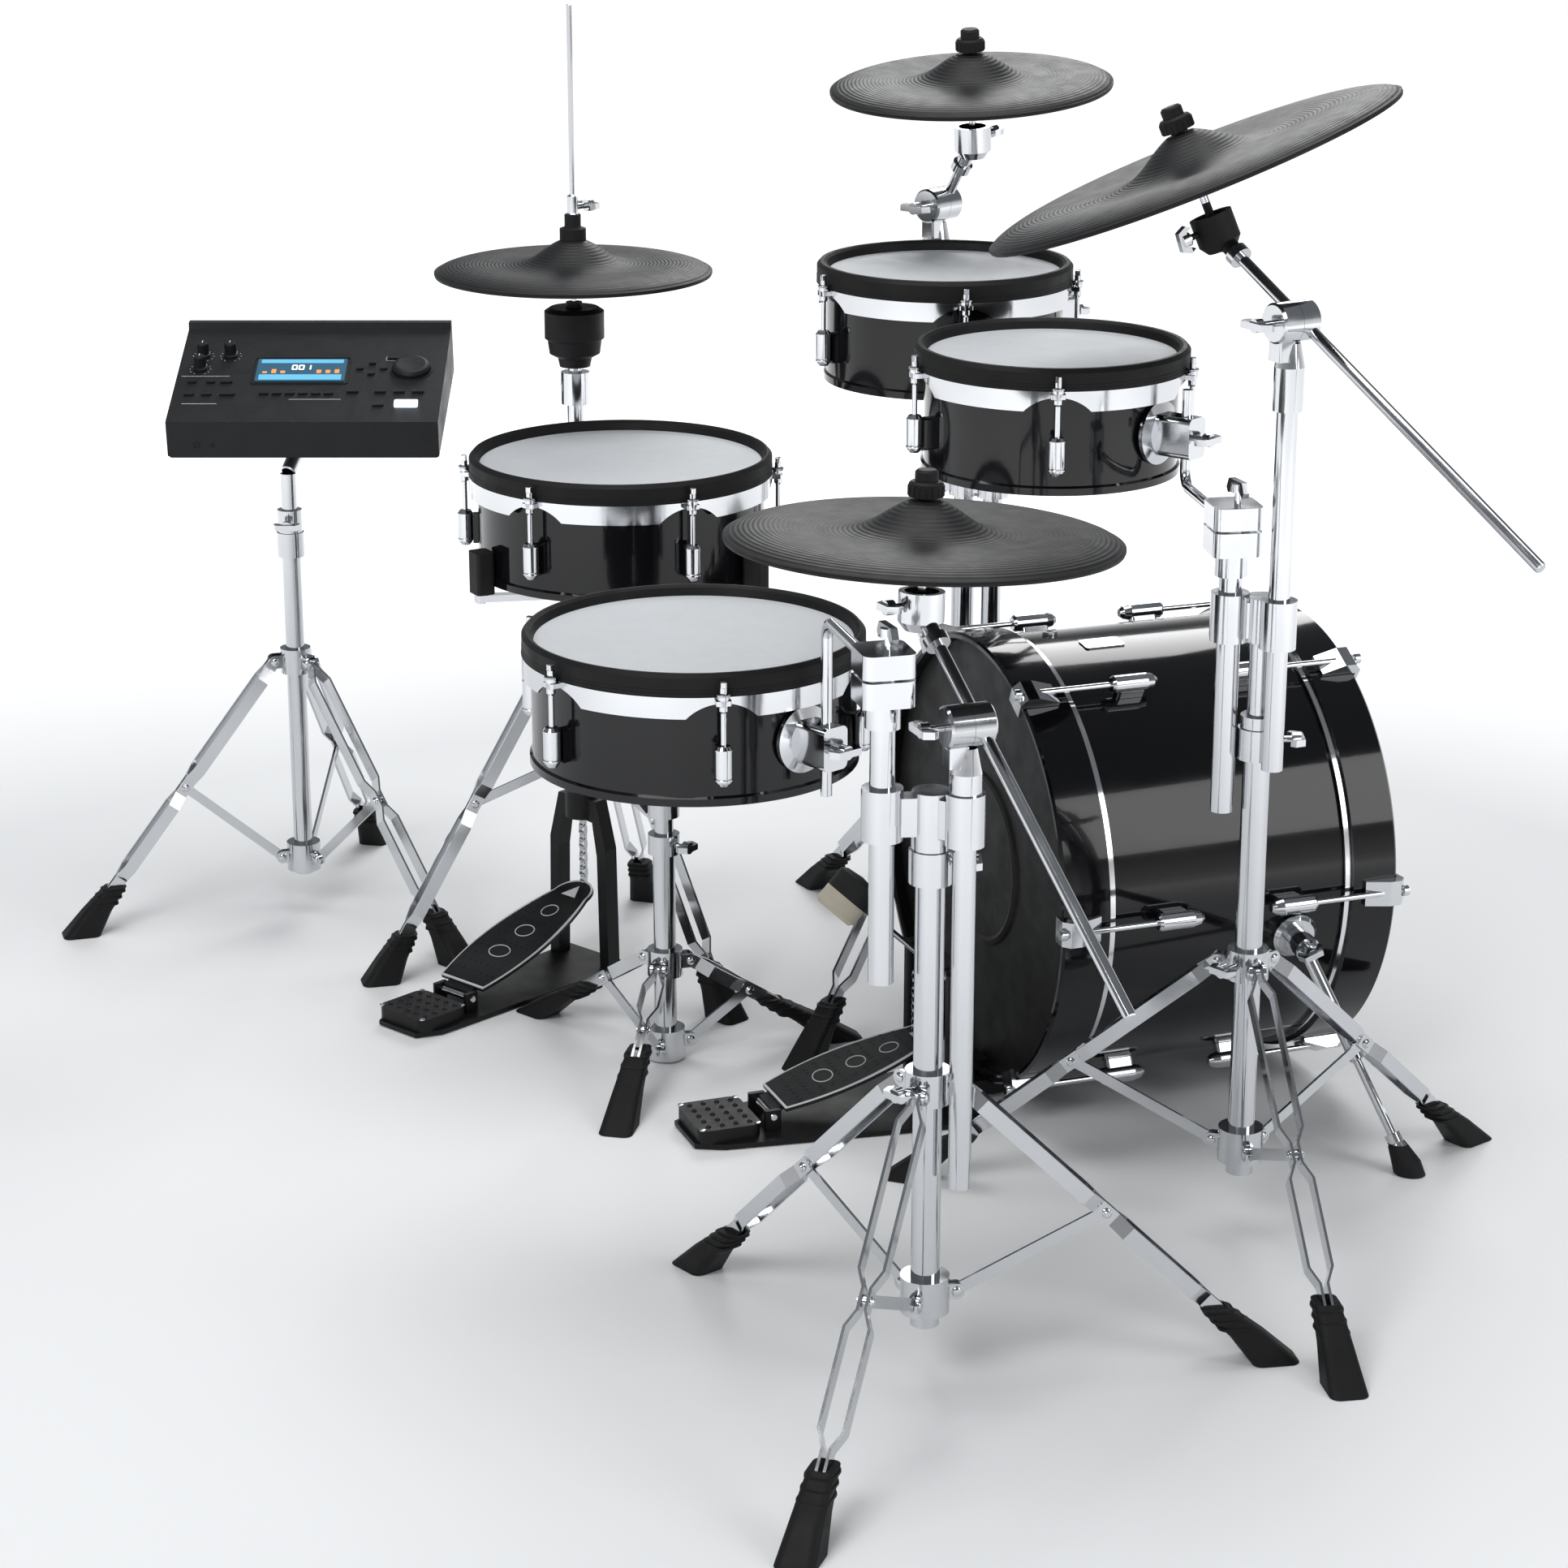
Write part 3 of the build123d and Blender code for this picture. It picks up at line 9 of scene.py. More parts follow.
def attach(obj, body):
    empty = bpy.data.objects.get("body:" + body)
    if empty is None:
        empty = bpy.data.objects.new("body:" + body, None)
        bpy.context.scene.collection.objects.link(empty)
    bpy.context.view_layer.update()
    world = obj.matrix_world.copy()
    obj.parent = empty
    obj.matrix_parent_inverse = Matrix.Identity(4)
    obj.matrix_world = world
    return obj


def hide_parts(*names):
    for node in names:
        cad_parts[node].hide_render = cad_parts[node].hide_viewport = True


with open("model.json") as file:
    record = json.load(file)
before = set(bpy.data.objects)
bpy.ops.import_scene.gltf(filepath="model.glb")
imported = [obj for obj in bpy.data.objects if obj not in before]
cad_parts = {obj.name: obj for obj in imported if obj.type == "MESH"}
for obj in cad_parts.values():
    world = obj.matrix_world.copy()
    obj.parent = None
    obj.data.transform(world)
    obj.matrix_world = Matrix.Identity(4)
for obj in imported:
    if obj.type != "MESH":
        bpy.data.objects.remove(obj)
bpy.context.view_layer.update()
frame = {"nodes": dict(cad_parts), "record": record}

NODES = frame["nodes"]
ROOT = "stands_and_kick"
MM = 0.001

KIT_CENTRE = Vector((0.0796, 0.1773, 0.0))


def at(x, y, z=0.0):
    return Vector((x, y, z)) * MM - KIT_CENTRE


# ---- camera ------------------------------------------------------------------------------
VIEW_DOWN = math.radians(17.855)
VIEW_TURN = math.radians(-20.23)
VIEW_FROM = (-3284.15, 1430.32, 1500.29)
LENS = 83.05
SENSOR = 36.0
SHIFT = (0.00758, -0.0039)
FAR_CLIP = 60.0
camera_data = bpy.data.cameras.new("camera")
camera_data.lens = LENS
camera_data.sensor_width = SENSOR
camera_data.shift_x, camera_data.shift_y = SHIFT
camera_data.clip_end = FAR_CLIP
camera = bpy.data.objects.new("camera", camera_data)
bpy.context.scene.collection.objects.link(camera)
camera.location = at(*VIEW_FROM)
forward = Vector((
    math.cos(VIEW_TURN) * math.cos(VIEW_DOWN),
    math.sin(VIEW_TURN) * math.cos(VIEW_DOWN),
    -math.sin(VIEW_DOWN),
))
camera.rotation_euler = forward.to_track_quat("-Z", "Y").to_euler()
bpy.context.scene.camera = camera

# ---- light -------------------------------------------------------------------------------
# The studio is white up to the horizon and dark overhead, so that chrome has both to mirror.
WHITE_UP_TO, DARK_FROM = 0.48, 0.62  # 0 is straight down, 1 is straight up
STUDIO_WHITE, STUDIO_DARK = (1.0, 1.0, 1.0, 1), (0.16, 0.17, 0.18, 1)
world = bpy.data.worlds.new("studio")
world.use_nodes = True
studio = world.node_tree
sky = studio.nodes.new("ShaderNodeTexCoord")
split = studio.nodes.new("ShaderNodeSeparateXYZ")
ramp = studio.nodes.new("ShaderNodeValToRGB")
white_end, dark_end = ramp.color_ramp.elements
white_end.position, white_end.color = WHITE_UP_TO, STUDIO_WHITE
dark_end.position, dark_end.color = DARK_FROM, STUDIO_DARK
halved = studio.nodes.new("ShaderNodeMath")
halved.operation = "MULTIPLY_ADD"
halved.inputs[1].default_value = 0.5
halved.inputs[2].default_value = 0.5
studio.links.new(sky.outputs["Generated"], split.inputs[0])
studio.links.new(split.outputs["Z"], halved.inputs[0])
studio.links.new(halved.outputs[0], ramp.inputs["Fac"])
studio.links.new(ramp.outputs["Color"], studio.nodes["Background"].inputs["Color"])
studio.nodes["Background"].inputs["Strength"].default_value = 1.0
bpy.context.scene.world = world
bpy.context.scene.view_settings.view_transform = "Standard"


def softbox(name, place, size, power, aim=(0.0, 0.0, 0.45)):
    light = bpy.data.lights.new(name, "AREA")
    light.shape = "RECTANGLE"
    light.size, light.size_y = size
    light.energy = power
    box = bpy.data.objects.new(name, light)
    box.location = place
    box.rotation_euler = (Vector(aim) - Vector(place)).to_track_quat("-Z", "Y").to_euler()
    bpy.context.scene.collection.objects.link(box)


softbox("key_light", (-2.6, 3.0, 3.4), (2.2, 1.6), 95)
softbox("fill_light", (-3.4, -2.4, 2.2), (1.6, 2.2), 42)
softbox("top_light", (0.2, 0.0, 3.9), (3.0, 2.2), 80)
softbox("back_light", (2.8, -1.6, 2.6), (1.6, 1.6), 45)


# ---- materials ---------------------------------------------------------------------------
CHROME_LOW, CHROME_HIGH = (0.56, 0.57, 0.59), (0.70, 0.71, 0.73)
DEEP_BLACK = (0.008, 0.008, 0.009)


class Finish:
    """A material with one surface shader, and small helpers to wire its texture nodes."""

    def __init__(self, name, colour, rough, metal=0.0):
        self.material = bpy.data.materials.new(name)
        self.material.use_nodes = True
        self.tree = self.material.node_tree
        self.shader = self.tree.nodes["Principled BSDF"]
        self.place = self.node("ShaderNodeTexCoord").outputs["Object"]
        self.set("Base Color", (*colour, 1.0))
        self.set("Roughness", rough)
        self.set("Metallic", metal)

    def node(self, kind, **values):
        made = self.tree.nodes.new(kind)
        for key, value in values.items():
            setattr(made, key, value)
        return made

    def set(self, socket, value):
        if isinstance(value, bpy.types.NodeSocket):
            self.tree.links.new(value, self.shader.inputs[socket])
        else:
            self.shader.inputs[socket].default_value = value

    def wire(self, value, socket):
        if isinstance(value, bpy.types.NodeSocket):
            self.tree.links.new(value, socket)
        else:
            socket.default_value = value

    def math(self, operation, first, second=0.0):
        made = self.node("ShaderNodeMath", operation=operation)
        self.wire(first, made.inputs[0])
        self.wire(second, made.inputs[1])
        return made.outputs[0]

    def noise(self, scale, detail=4.0, place=None):
        made = self.node("ShaderNodeTexNoise")
        made.inputs["Scale"].default_value = scale
        made.inputs["Detail"].default_value = detail
        self.wire(place or self.place, made.inputs["Vector"])
        return made.outputs["Fac"]

    def spread(self, value, low, high, start=0.3, end=0.7):
        made = self.node("ShaderNodeMapRange")
        self.wire(value, made.inputs["Value"])
        made.inputs["From Min"].default_value = start
        made.inputs["From Max"].default_value = end
        made.inputs["To Min"].default_value = low
        made.inputs["To Max"].default_value = high
        return made.outputs["Result"]

    def blend(self, factor, first, second):
        made = self.node("ShaderNodeMix", data_type="RGBA")
        self.wire(factor, made.inputs["Factor"])
        for key, colour in ((6, first), (7, second)):
            if isinstance(colour, bpy.types.NodeSocket):
                self.tree.links.new(colour, made.inputs[key])
            else:
                made.inputs[key].default_value = (*colour, 1.0)
        return made.outputs[2]

    def bump(self, height, strength, distance):
        made = self.node("ShaderNodeBump")
        made.inputs["Strength"].default_value = strength
        made.inputs["Distance"].default_value = distance
        self.tree.links.new(height, made.inputs["Height"])
        self.tree.links.new(made.outputs["Normal"], self.shader.inputs["Normal"])

    def local(self, origin, axes=None):
        """Coordinates about an origin, turned so that Z runs along the last of the axes."""
        made = self.node("ShaderNodeMapping", vector_type="TEXTURE")
        self.wire(self.place, made.inputs["Vector"])
        made.inputs["Location"].default_value = origin
        if axes is not None:
            made.inputs["Rotation"].default_value = axes.to_euler()
        return made.outputs["Vector"]

    def parts(self, place):
        made = self.node("ShaderNodeSeparateXYZ")
        self.wire(place, made.inputs[0])
        return made.outputs

    def radius(self, place):
        x, y, _ = self.parts(place)
        return self.math("SQRT", self.math("ADD", self.math("MULTIPLY", x, x), self.math("MULTIPLY", y, y)))


def lacquer(name, colour=(0.004, 0.004, 0.005)):
    """Gloss paint under a thin clear coat."""
    made = Finish(name, colour, 0.10)
    made.set("Roughness", made.spread(made.noise(9.0, 6.0), 0.07, 0.15))
    made.set("Specular IOR Level", 0.22)
    made.set("Coat Weight", 0.3)
    made.set("Coat Roughness", 0.04)
    made.bump(made.noise(140.0, 2.0), 0.04, 0.0006)
    return made.material


def chromed(name, low=CHROME_LOW, high=CHROME_HIGH):
    """Polished metal with faint smudges."""
    made = Finish(name, high, 0.1, 1.0)
    smudge = made.noise(22.0, 8.0)
    made.set("Roughness", made.spread(smudge, 0.07, 0.17))
    made.set("Base Color", made.blend(made.noise(6.0, 5.0), low, high))
    made.bump(made.noise(420.0, 3.0), 0.03, 0.0003)
    return made.material


def soft_black(name, colour, rough, grain=1500.0, depth=0.25, shine=0.22):
    """A soft coloured surface with a fine grain; most of them are black."""
    made = Finish(name, colour, rough)
    made.set("Specular IOR Level", shine)
    lighter = tuple(min(1.0, c * 1.25 + 0.001) for c in colour)
    made.set("Base Color", made.blend(made.noise(18.0, 7.0), colour, lighter))
    made.set("Roughness", made.spread(made.noise(35.0, 5.0), rough - 0.08, rough + 0.08))
    made.bump(made.noise(grain, 3.0), depth, 0.0004)
    return made.material


def rubber_and_chrome(name, mask):
    """Chrome, with black rubber where the mask is 1."""
    made = Finish(name, (0.8, 0.81, 0.83), 0.1, 1.0)
    where = mask(made)
    shine = made.blend(made.noise(6.0, 5.0), CHROME_LOW, CHROME_HIGH)
    made.set("Base Color", made.blend(where, shine, DEEP_BLACK))
    made.set("Specular IOR Level", 0.25)
    made.set("Metallic", made.math("SUBTRACT", 1.0, where))
    duller = made.math("MULTIPLY", where, 0.5)
    made.set("Roughness", made.math("ADD", duller, made.spread(made.noise(22.0, 8.0), 0.08, 0.17)))
    made.bump(made.noise(420.0, 3.0), 0.05, 0.0003)
    return made.material


def below(height):
    """A mask that is 1 under a height."""
    def mask(made):
        return made.math("LESS_THAN", made.parts(made.place)[2], height)
    return mask


def between(*ranges):
    """A mask that is 1 in each of the height ranges."""
    def mask(made):
        z = made.parts(made.place)[2]
        total = 0.0
        for low, high in ranges:
            over, under = made.math("GREATER_THAN", z, low), made.math("LESS_THAN", z, high)
            inside = made.math("MULTIPLY", over, under)
            total = made.math("MAXIMUM", total, inside)
        return total
    return mask


def woven(name, thread=0.0011):
    """Drum mesh: crossed threads with small dark gaps."""
    made = Finish(name, (0.70, 0.72, 0.73), 0.6)
    x, y, _ = made.parts(made.place)
    turns = 2 * math.pi / thread
    over = made.math("ABSOLUTE", made.math("SINE", made.math("MULTIPLY", x, turns / 2)))
    under = made.math("ABSOLUTE", made.math("SINE", made.math("MULTIPLY", y, turns / 2)))
    cloth = made.math("MAXIMUM", over, under)
    shade = made.spread(cloth, 0.0, 1.0, 0.25, 0.9)
    wear = made.blend(made.noise(7.0, 6.0), (0.52, 0.54, 0.56), (0.60, 0.62, 0.64))
    made.set("Base Color", made.blend(shade, (0.26, 0.27, 0.29), wear))
    made.set("Roughness", made.spread(made.noise(60.0, 4.0), 0.5, 0.7))
    made.bump(cloth, 0.5, 0.0004)
    return made.material


def grooved(name, origin, normal, spacing=0.0042):
    """Cymbal rubber with fine rings about the cymbal's own axis."""
    made = Finish(name, (0.010, 0.010, 0.011), 0.5)
    made.set("Specular IOR Level", 0.26)
    axes = Vector((0, 0, 1)).rotation_difference(normal).to_matrix()
    reach = made.radius(made.local(origin, axes))
    wave = made.math("SINE", made.math("MULTIPLY", reach, 2 * math.pi / spacing))
    tone = made.blend(made.noise(40.0, 7.0), (0.010, 0.0102, 0.011), (0.013, 0.0132, 0.0142))
    made.set("Base Color", tone)
    made.set("Roughness", made.spread(made.noise(60.0, 6.0), 0.46, 0.54))
    fine = made.math("MULTIPLY", made.noise(900.0, 3.0), 0.35)
    made.bump(made.math("ADD", made.math("MULTIPLY", wave, 0.5), fine), 0.42, 0.0005)
    return made.material


def near(*spots):
    """A mask that is 1 within a distance of each place."""
    def mask(made):
        total = 0.0
        for place, reach in spots:
            away = made.node("ShaderNodeVectorMath", operation="DISTANCE")
            made.wire(made.place, away.inputs[0])
            away.inputs[1].default_value = place
            total = made.math("MAXIMUM", total, made.math("LESS_THAN", away.outputs["Value"], reach))
        return total
    return mask


def glow(name, colour, strength):
    """A surface that gives light of its own."""
    made = Finish(name, colour, 0.3)
    made.set("Emission Color", (*colour, 1.0))
    made.set("Emission Strength", strength)
    made.set("Base Color", made.blend(made.noise(40.0, 2.0), colour, tuple(c * 0.8 for c in colour)))
    return made.material


GLOSS = lacquer("gloss_black")
CHROME = chromed("chrome")
SILVER = chromed("silver_band", (0.72, 0.72, 0.74), (0.80, 0.80, 0.82))
RUBBER = soft_black("black_rubber", (0.006, 0.006, 0.0065), 0.60)
MATTE = soft_black("matte_black", (0.008, 0.008, 0.009), 0.50)
POWDER = soft_black("black_powder_coat", (0.006, 0.006, 0.0065), 0.38, 2600.0, 0.35)
CASE = soft_black("module_black", (0.011, 0.0115, 0.013), 0.45, 1900.0, 0.45)
SKIN = soft_black("batter_skin", (0.006, 0.006, 0.0065), 0.50, 800.0, 0.15)
MESH = woven("mesh_head")
INLAY = soft_black("silver_inlay", (0.50, 0.51, 0.52), 0.34, 900.0, 0.1, 0.5)
SCREEN = glow("screen", (0.03, 0.10, 0.16), 0.35)
LIT = glow("lit", (0.72, 0.86, 1.0), 2.2)
WHITE_INK = soft_black("legend_ink", (0.62, 0.64, 0.66), 0.5, 600.0, 0.05)


def paint(node, material):
    """Gives a CAD node one material."""
    thing = NODES[node]
    if thing.data.materials:
        for index in range(len(thing.data.materials)):
            thing.data.materials[index] = material
    else:
        thing.data.materials.append(material)


PAINT = {
    "gloss_black": GLOSS,
    "chrome": CHROME,
    "silver_band": SILVER,
    "black_rubber": RUBBER,
    "matte_black": MATTE,
    "black_metal": POWDER,
    "module_black": CASE,
    "batter_skin": SKIN,
    "mesh_head": MESH,
    "screen": SCREEN,
    "lit": LIT,
}
for part in frame["record"]["subparts"]:
    paint(part["node"], PAINT[part["material_slot"]])

# ---- shapes ------------------------------------------------------------------------------
def basis(origin, z_axis, x_axis=None):
    """A matrix with its origin, its Z axis and its X axis as near as can be to the one given."""
    z = Vector(z_axis).normalized()
    guess = Vector(x_axis) if x_axis is not None else Vector((0, 0, 1) if abs(z.z) < 0.9 else (1, 0, 0))
    y = z.cross(guess).normalized()
    x = y.cross(z)
    made = Matrix((x, y, z)).transposed().to_4x4()
    made.translation = origin
    return made


def inset_row(outline, inset, height):
    """An outline drawn in towards the mean of its points, at a height."""
    middle = Vector((sum(p[0] for p in outline) / len(outline), sum(p[1] for p in outline) / len(outline)))
    row = []
    for x, y in outline:
        away = Vector((x, y)) - middle
        scale = 1 - inset / max(away.length, 1e-6)
        row.append((middle.x + away.x * scale, middle.y + away.y * scale, height))
    return row


class Shape:
    """Collects turned, drawn and plate-like solids in millimetres about a matrix in metres."""

    def __init__(self):
        self.mesh = bmesh.new()

    def points(self, place, rows):
        """Adds one vertex for each row of local millimetres."""
        return [self.mesh.verts.new(place @ (Vector(row) * MM)) for row in rows]

    def skin(self, rings):
        """Joins each closed ring of vertices to the next with four-sided faces."""
        for first, second in zip(rings[:-1], rings[1:]):
            count = len(first)
            for k in range(count):
                nxt = (k + 1) % count
                self.mesh.faces.new((first[k], first[nxt], second[nxt], second[k]))

    def lathe(self, place, *profile, turns=40):
        """A solid turned about Z from a closed profile of radius and height."""
        rings = []
        for radius, height in profile:
            if radius < 1e-4:
                rings.append(self.points(place, [(0, 0, height)]))
                continue
            angles = [2 * math.pi * k / turns for k in range(turns)]
            circle = [(radius * math.cos(a), radius * math.sin(a), height) for a in angles]
            rings.append(self.points(place, circle))
        pairs = list(zip(rings, rings[1:] + rings[:1]))
        for first, second in pairs:
            if len(first) == 1 and len(second) == 1:
                continue
            for k in range(turns):
                nxt = (k + 1) % turns
                if len(first) == 1:
                    self.mesh.faces.new((first[0], second[nxt], second[k]))
                elif len(second) == 1:
                    self.mesh.faces.new((first[k], first[nxt], second[0]))
                else:
                    self.mesh.faces.new((first[k], first[nxt], second[nxt], second[k]))
        return self

    def bar(self, place, radius, length, turns=24):
        """A round bar along Z with eased ends."""
        ease = min(radius * 0.25, 0.8)
        return self.lathe(
            place, (0, 0), (radius - ease, 0), (radius, ease), (radius, length - ease),
            (radius - ease, length), (0, length), turns=turns,
        )

    def plate(self, place, outline, low, high, ease=0.0):
        """A flat piece with an outline in X and Y, and an eased top edge."""
        levels = [(low, 0.0), (high - ease, 0.0)] + ([(high, ease)] if ease else [])
        rings = [self.points(place, inset_row(outline, inset, height)) for height, inset in levels]
        self.skin(rings)
        self.mesh.faces.new(list(reversed(rings[0])))
        self.mesh.faces.new(rings[-1])
        return self

    def frame_strip(self, place, outline, width, low, high):
        """A raised strip that follows a closed outline, inside it."""
        section = ((0, low), (0.3, high), (width - 0.3, high), (width, low))
        rings = [self.points(place, inset_row(outline, inset, height)) for inset, height in section]
        self.skin(rings + [rings[0]])
        return self

    def piece(self, name, material, slot, body, *replaced, sharp=35.0):
        """Turns the collected faces into an object that rides a body."""
        bmesh.ops.recalc_face_normals(self.mesh, faces=self.mesh.faces)
        data = bpy.data.meshes.new(name)
        self.mesh.to_mesh(data)
        self.mesh.free()
        data.polygons.foreach_set("use_smooth", [True] * len(data.polygons))
        data.set_sharp_from_angle(angle=math.radians(sharp))
        thing = bpy.data.objects.new(name, data)
        bpy.context.scene.collection.objects.link(thing)
        data.materials.append(material)
        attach(thing, body)
        if replaced:
            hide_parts(*replaced)
        return thing


def arc(start, through, end, steps=14):
    """Points along the circle through three points, without the last one."""
    ax, ay = start
    bx, by = through
    cx, cy = end
    d = 2 * (ax * (by - cy) + bx * (cy - ay) + cx * (ay - by))
    if abs(d) < 1e-6:
        return [tuple(Vector(start).lerp(Vector(end), k / steps)) for k in range(steps)]
    sa, sb, sc = ax * ax + ay * ay, bx * bx + by * by, cx * cx + cy * cy
    ux = (sa * (by - cy) + sb * (cy - ay) + sc * (ay - by)) / d
    uy = (sa * (cx - bx) + sb * (ax - cx) + sc * (bx - ax)) / d
    radius = math.hypot(ax - ux, ay - uy)
    first = math.atan2(ay - uy, ax - ux)
    last = math.atan2(cy - uy, cx - ux)
    middle = math.atan2(by - uy, bx - ux)
    turn = (last - first) % (2 * math.pi)
    if (middle - first) % (2 * math.pi) > turn:
        turn -= 2 * math.pi
    angles = [first + turn * k / steps for k in range(steps)]
    return [(ux + radius * math.cos(a), uy + radius * math.sin(a)) for a in angles]


def rounded(width, depth, corner, centre=(0.0, 0.0), steps=5):
    """The outline of a rounded rectangle."""
    made = []
    for sx, sy, first in ((1, 1, 0), (-1, 1, 90), (-1, -1, 180), (1, -1, 270)):
        cx, cy = centre[0] + sx * (width / 2 - corner), centre[1] + sy * (depth / 2 - corner)
        for k in range(steps + 1):
            a = math.radians(first + 90 * k / steps)
            made.append((cx + corner * math.cos(a), cy + corner * math.sin(a)))
    return made


def oval(wide, tall, centre=(0.0, 0.0), steps=20):
    """The outline of an ellipse with two half widths."""
    angles = [2 * math.pi * k / steps for k in range(steps)]
    return [(centre[0] + wide * math.cos(a), centre[1] + tall * math.sin(a)) for a in angles]


# ---- pedals ------------------------------------------------------------------------------
HINGE_Z = 21.0
HINGE_R = 4.0
BOARD_THICK = 5.0


def roller_chain(shape, place, low, high, pitch=8.0):
    """A bicycle-type chain along local Z: pairs of side plates and a roller at each joint."""
    count = int((high - low) / pitch)
    step = (high - low) / count
    for k in range(count + 1):
        z = low + k * step
        roller = place @ basis(Vector((-3.1, 0, z)) * MM, (1, 0, 0))
        shape.bar(roller, 2.3, 6.2, turns=14)
        if k == count:
            break
        side = 3.9 if k % 2 else 2.9
        for hand in (-1, 1):
            link = place @ basis(Vector((hand * side, 0, z + step / 2)) * MM, (1, 0, 0), (0, 0, 1))
            shape.plate(link, oval(step / 2 + 2.9, 2.9, steps=18), -0.5, 0.5, 0.15)


def tread(name, node, body, pedal, hinge_y, tip_y, tip_z, link_y, hook_z):
    """The footboard with a silver outline, inlays and grip dots, its hinge rod and its chain."""
    hinge = Vector((0, hinge_y, HINGE_Z))
    tip = Vector((0, tip_y, tip_z))
    length = (tip - hinge).length
    ahead = (tip - hinge).normalized()
    up = Vector((1, 0, 0)).cross(ahead)
    up = up if up.z > 0 else -up
    board = pedal @ basis(hinge * MM, up, (1, 0, 0))
    run = 1 if (board.to_3x3() @ Vector((0, 1, 0))).dot(pedal.to_3x3() @ ahead) > 0 else -1
    outline = (
        arc((-34, run * 13), (-44, run * length * 0.5), (-26, run * length * 0.88))
        + arc((-26, run * length * 0.88), (0, run * length), (26, run * length * 0.88))
        + arc((26, run * length * 0.88), (44, run * length * 0.5), (34, run * 13))
        + [(34, run * 13)]
    )
    top = HINGE_R - 1 + BOARD_THICK
    base = Shape().plate(board, outline, HINGE_R - 1, top - 0.6, 1.0)
    heel = pedal @ basis((hinge + ahead * length * 0.045) * MM, up, (1, 0, 0))
    base.plate(heel, rounded(42, 14, 2), 0, 5, 0.5)
    base.piece(name + "_board", POWDER, "black_metal", body, node)
    edge = Shape().frame_strip(board, outline, 3.0, top - 1.4, top)
    for k in range(3):
        centre = (0, run * length * (0.34 + 0.19 * k))
        edge.frame_strip(board, oval(15 - 2 * k, 11, centre), 1.4, top - 0.8, top - 0.1)
    toe = run * length
    edge.plate(board, [(-11, toe * 0.86), (11, toe * 0.86), (0, toe * 0.95)], top - 0.8, top - 0.1, 0.2)
    edge.piece(name + "_outline_and_inlays", INLAY, "chrome", body)
    dots = Shape()
    for row in range(11):
        y = run * length * (0.16 + 0.064 * row)
        for column in range(-3, 4):
            x = column * 9.5 + (4.7 if row % 2 else 0)
            free = all(abs(y - run * length * (0.34 + 0.19 * k)) > 13 or abs(x) > 18 for k in range(3))
            if free and abs(x) < 34:
                dot = board @ Matrix.Translation(Vector((x, y, top - 0.7)) * MM)
                dots.lathe(dot, (0, 0), (2.0, 0), (1.6, 0.6), (0, 0.7), turns=10)
    dots.piece(name + "_grip_dots", POWDER, "black_metal", body)
    metal = Shape().bar(pedal @ basis(Vector((-30, hinge_y, HINGE_Z)) * MM, (1, 0, 0)), HINGE_R, 60)
    under = max(link_y, tip_y + 4)
    low = tip_z - (under - tip_y) / (hinge_y - tip_y) * (tip_z - HINGE_Z) + BOARD_THICK + HINGE_R + 1
    roller_chain(metal, pedal @ Matrix.Translation(Vector((0, link_y, 0)) * MM), low - 0.5, hook_z - 3)
    metal.piece(name + "_chain_and_pin", CHROME, "chrome", body)


def heel_studs(name, pedal, hinge_y, half):
    """Pointed studs on the heel block, and screws at its corners."""
    studs = Shape()
    for row in range(4):
        for column in range(-2, 3):
            spot = Vector((column * (half - 10) / 2.4, hinge_y + 27 + 15 * row, 20.8)) * MM
            studs.lathe(pedal @ Matrix.Translation(spot), (0, 0), (3.0, 0), (2.6, 1.0), (0, 3.4), turns=14)
    studs.piece(name + "_heel_studs", POWDER, "black_metal", ROOT)
    screws = Shape()
    for sx in (-1, 1):
        for row in (0, 1):
            spot = Vector((sx * (half - 11), hinge_y + 20 + 60 * row, 20.8)) * MM
            screws.lathe(
                pedal @ Matrix.Translation(spot),
                (0, 0), (3.2, 0), (3.0, 1.2), (1.6, 1.4), (1.5, 0.5), (0, 0.5), turns=18,
            )
    screws.piece(name + "_heel_screws", CHROME, "chrome", ROOT)


KICK_PEDAL_X = -20.0
KICK_HINGE_Y = 236.0
kick_pedal = Matrix.Translation(at(KICK_PEDAL_X, 0))
tread(
    "kick_pedal", "kick_pedal_footboard", "kick_footboard", kick_pedal, KICK_HINGE_Y, 40.0, 77.0, 67.3, 150.0,
)
heel_studs("kick_pedal", kick_pedal, KICK_HINGE_Y, 46.0)
HAT = (501.0, 268.0)
HAT_HINGE_Y = 205.0
hat_turn = math.radians(117.3)
heel_way = Vector((math.cos(hat_turn), math.sin(hat_turn), 0))
hat_pedal = Matrix((heel_way.cross(Vector((0, 0, 1))), heel_way, Vector((0, 0, 1)))).transposed().to_4x4()
hat_pedal.translation = at(*HAT)
tread("hihat_pedal", "hihat_footboard", "hihat_footboard", hat_pedal, HAT_HINGE_Y, -6.0, 93.0, 0.0, 180.2)
heel_studs("hihat_pedal", hat_pedal, HAT_HINGE_Y, 44.0)

# ---- rubber and chrome on one CAD node ---------------------------------------------------
paint("snare_basket", rubber_and_chrome("basket_arms", between((0.537, 0.620))))
paint("kick_spur_right", rubber_and_chrome("right_spur", below(0.029)))
paint("kick_spur_left", rubber_and_chrome("left_spur", below(0.034)))
paint("hihat_rod_and_clutch", rubber_and_chrome("clutch", between((0.823, 0.875))))
BEATER_LEAN = math.radians(47.0)
BEATER_REACH = 137.0
KICK_AXLE = (44.0, 150.0)
BEATER_HEAD = 0.036
BEATER_AT = at(
    KICK_PEDAL_X,
    KICK_AXLE[0] + BEATER_REACH * math.sin(BEATER_LEAN),
    KICK_AXLE[1] + BEATER_REACH * math.cos(BEATER_LEAN),
)


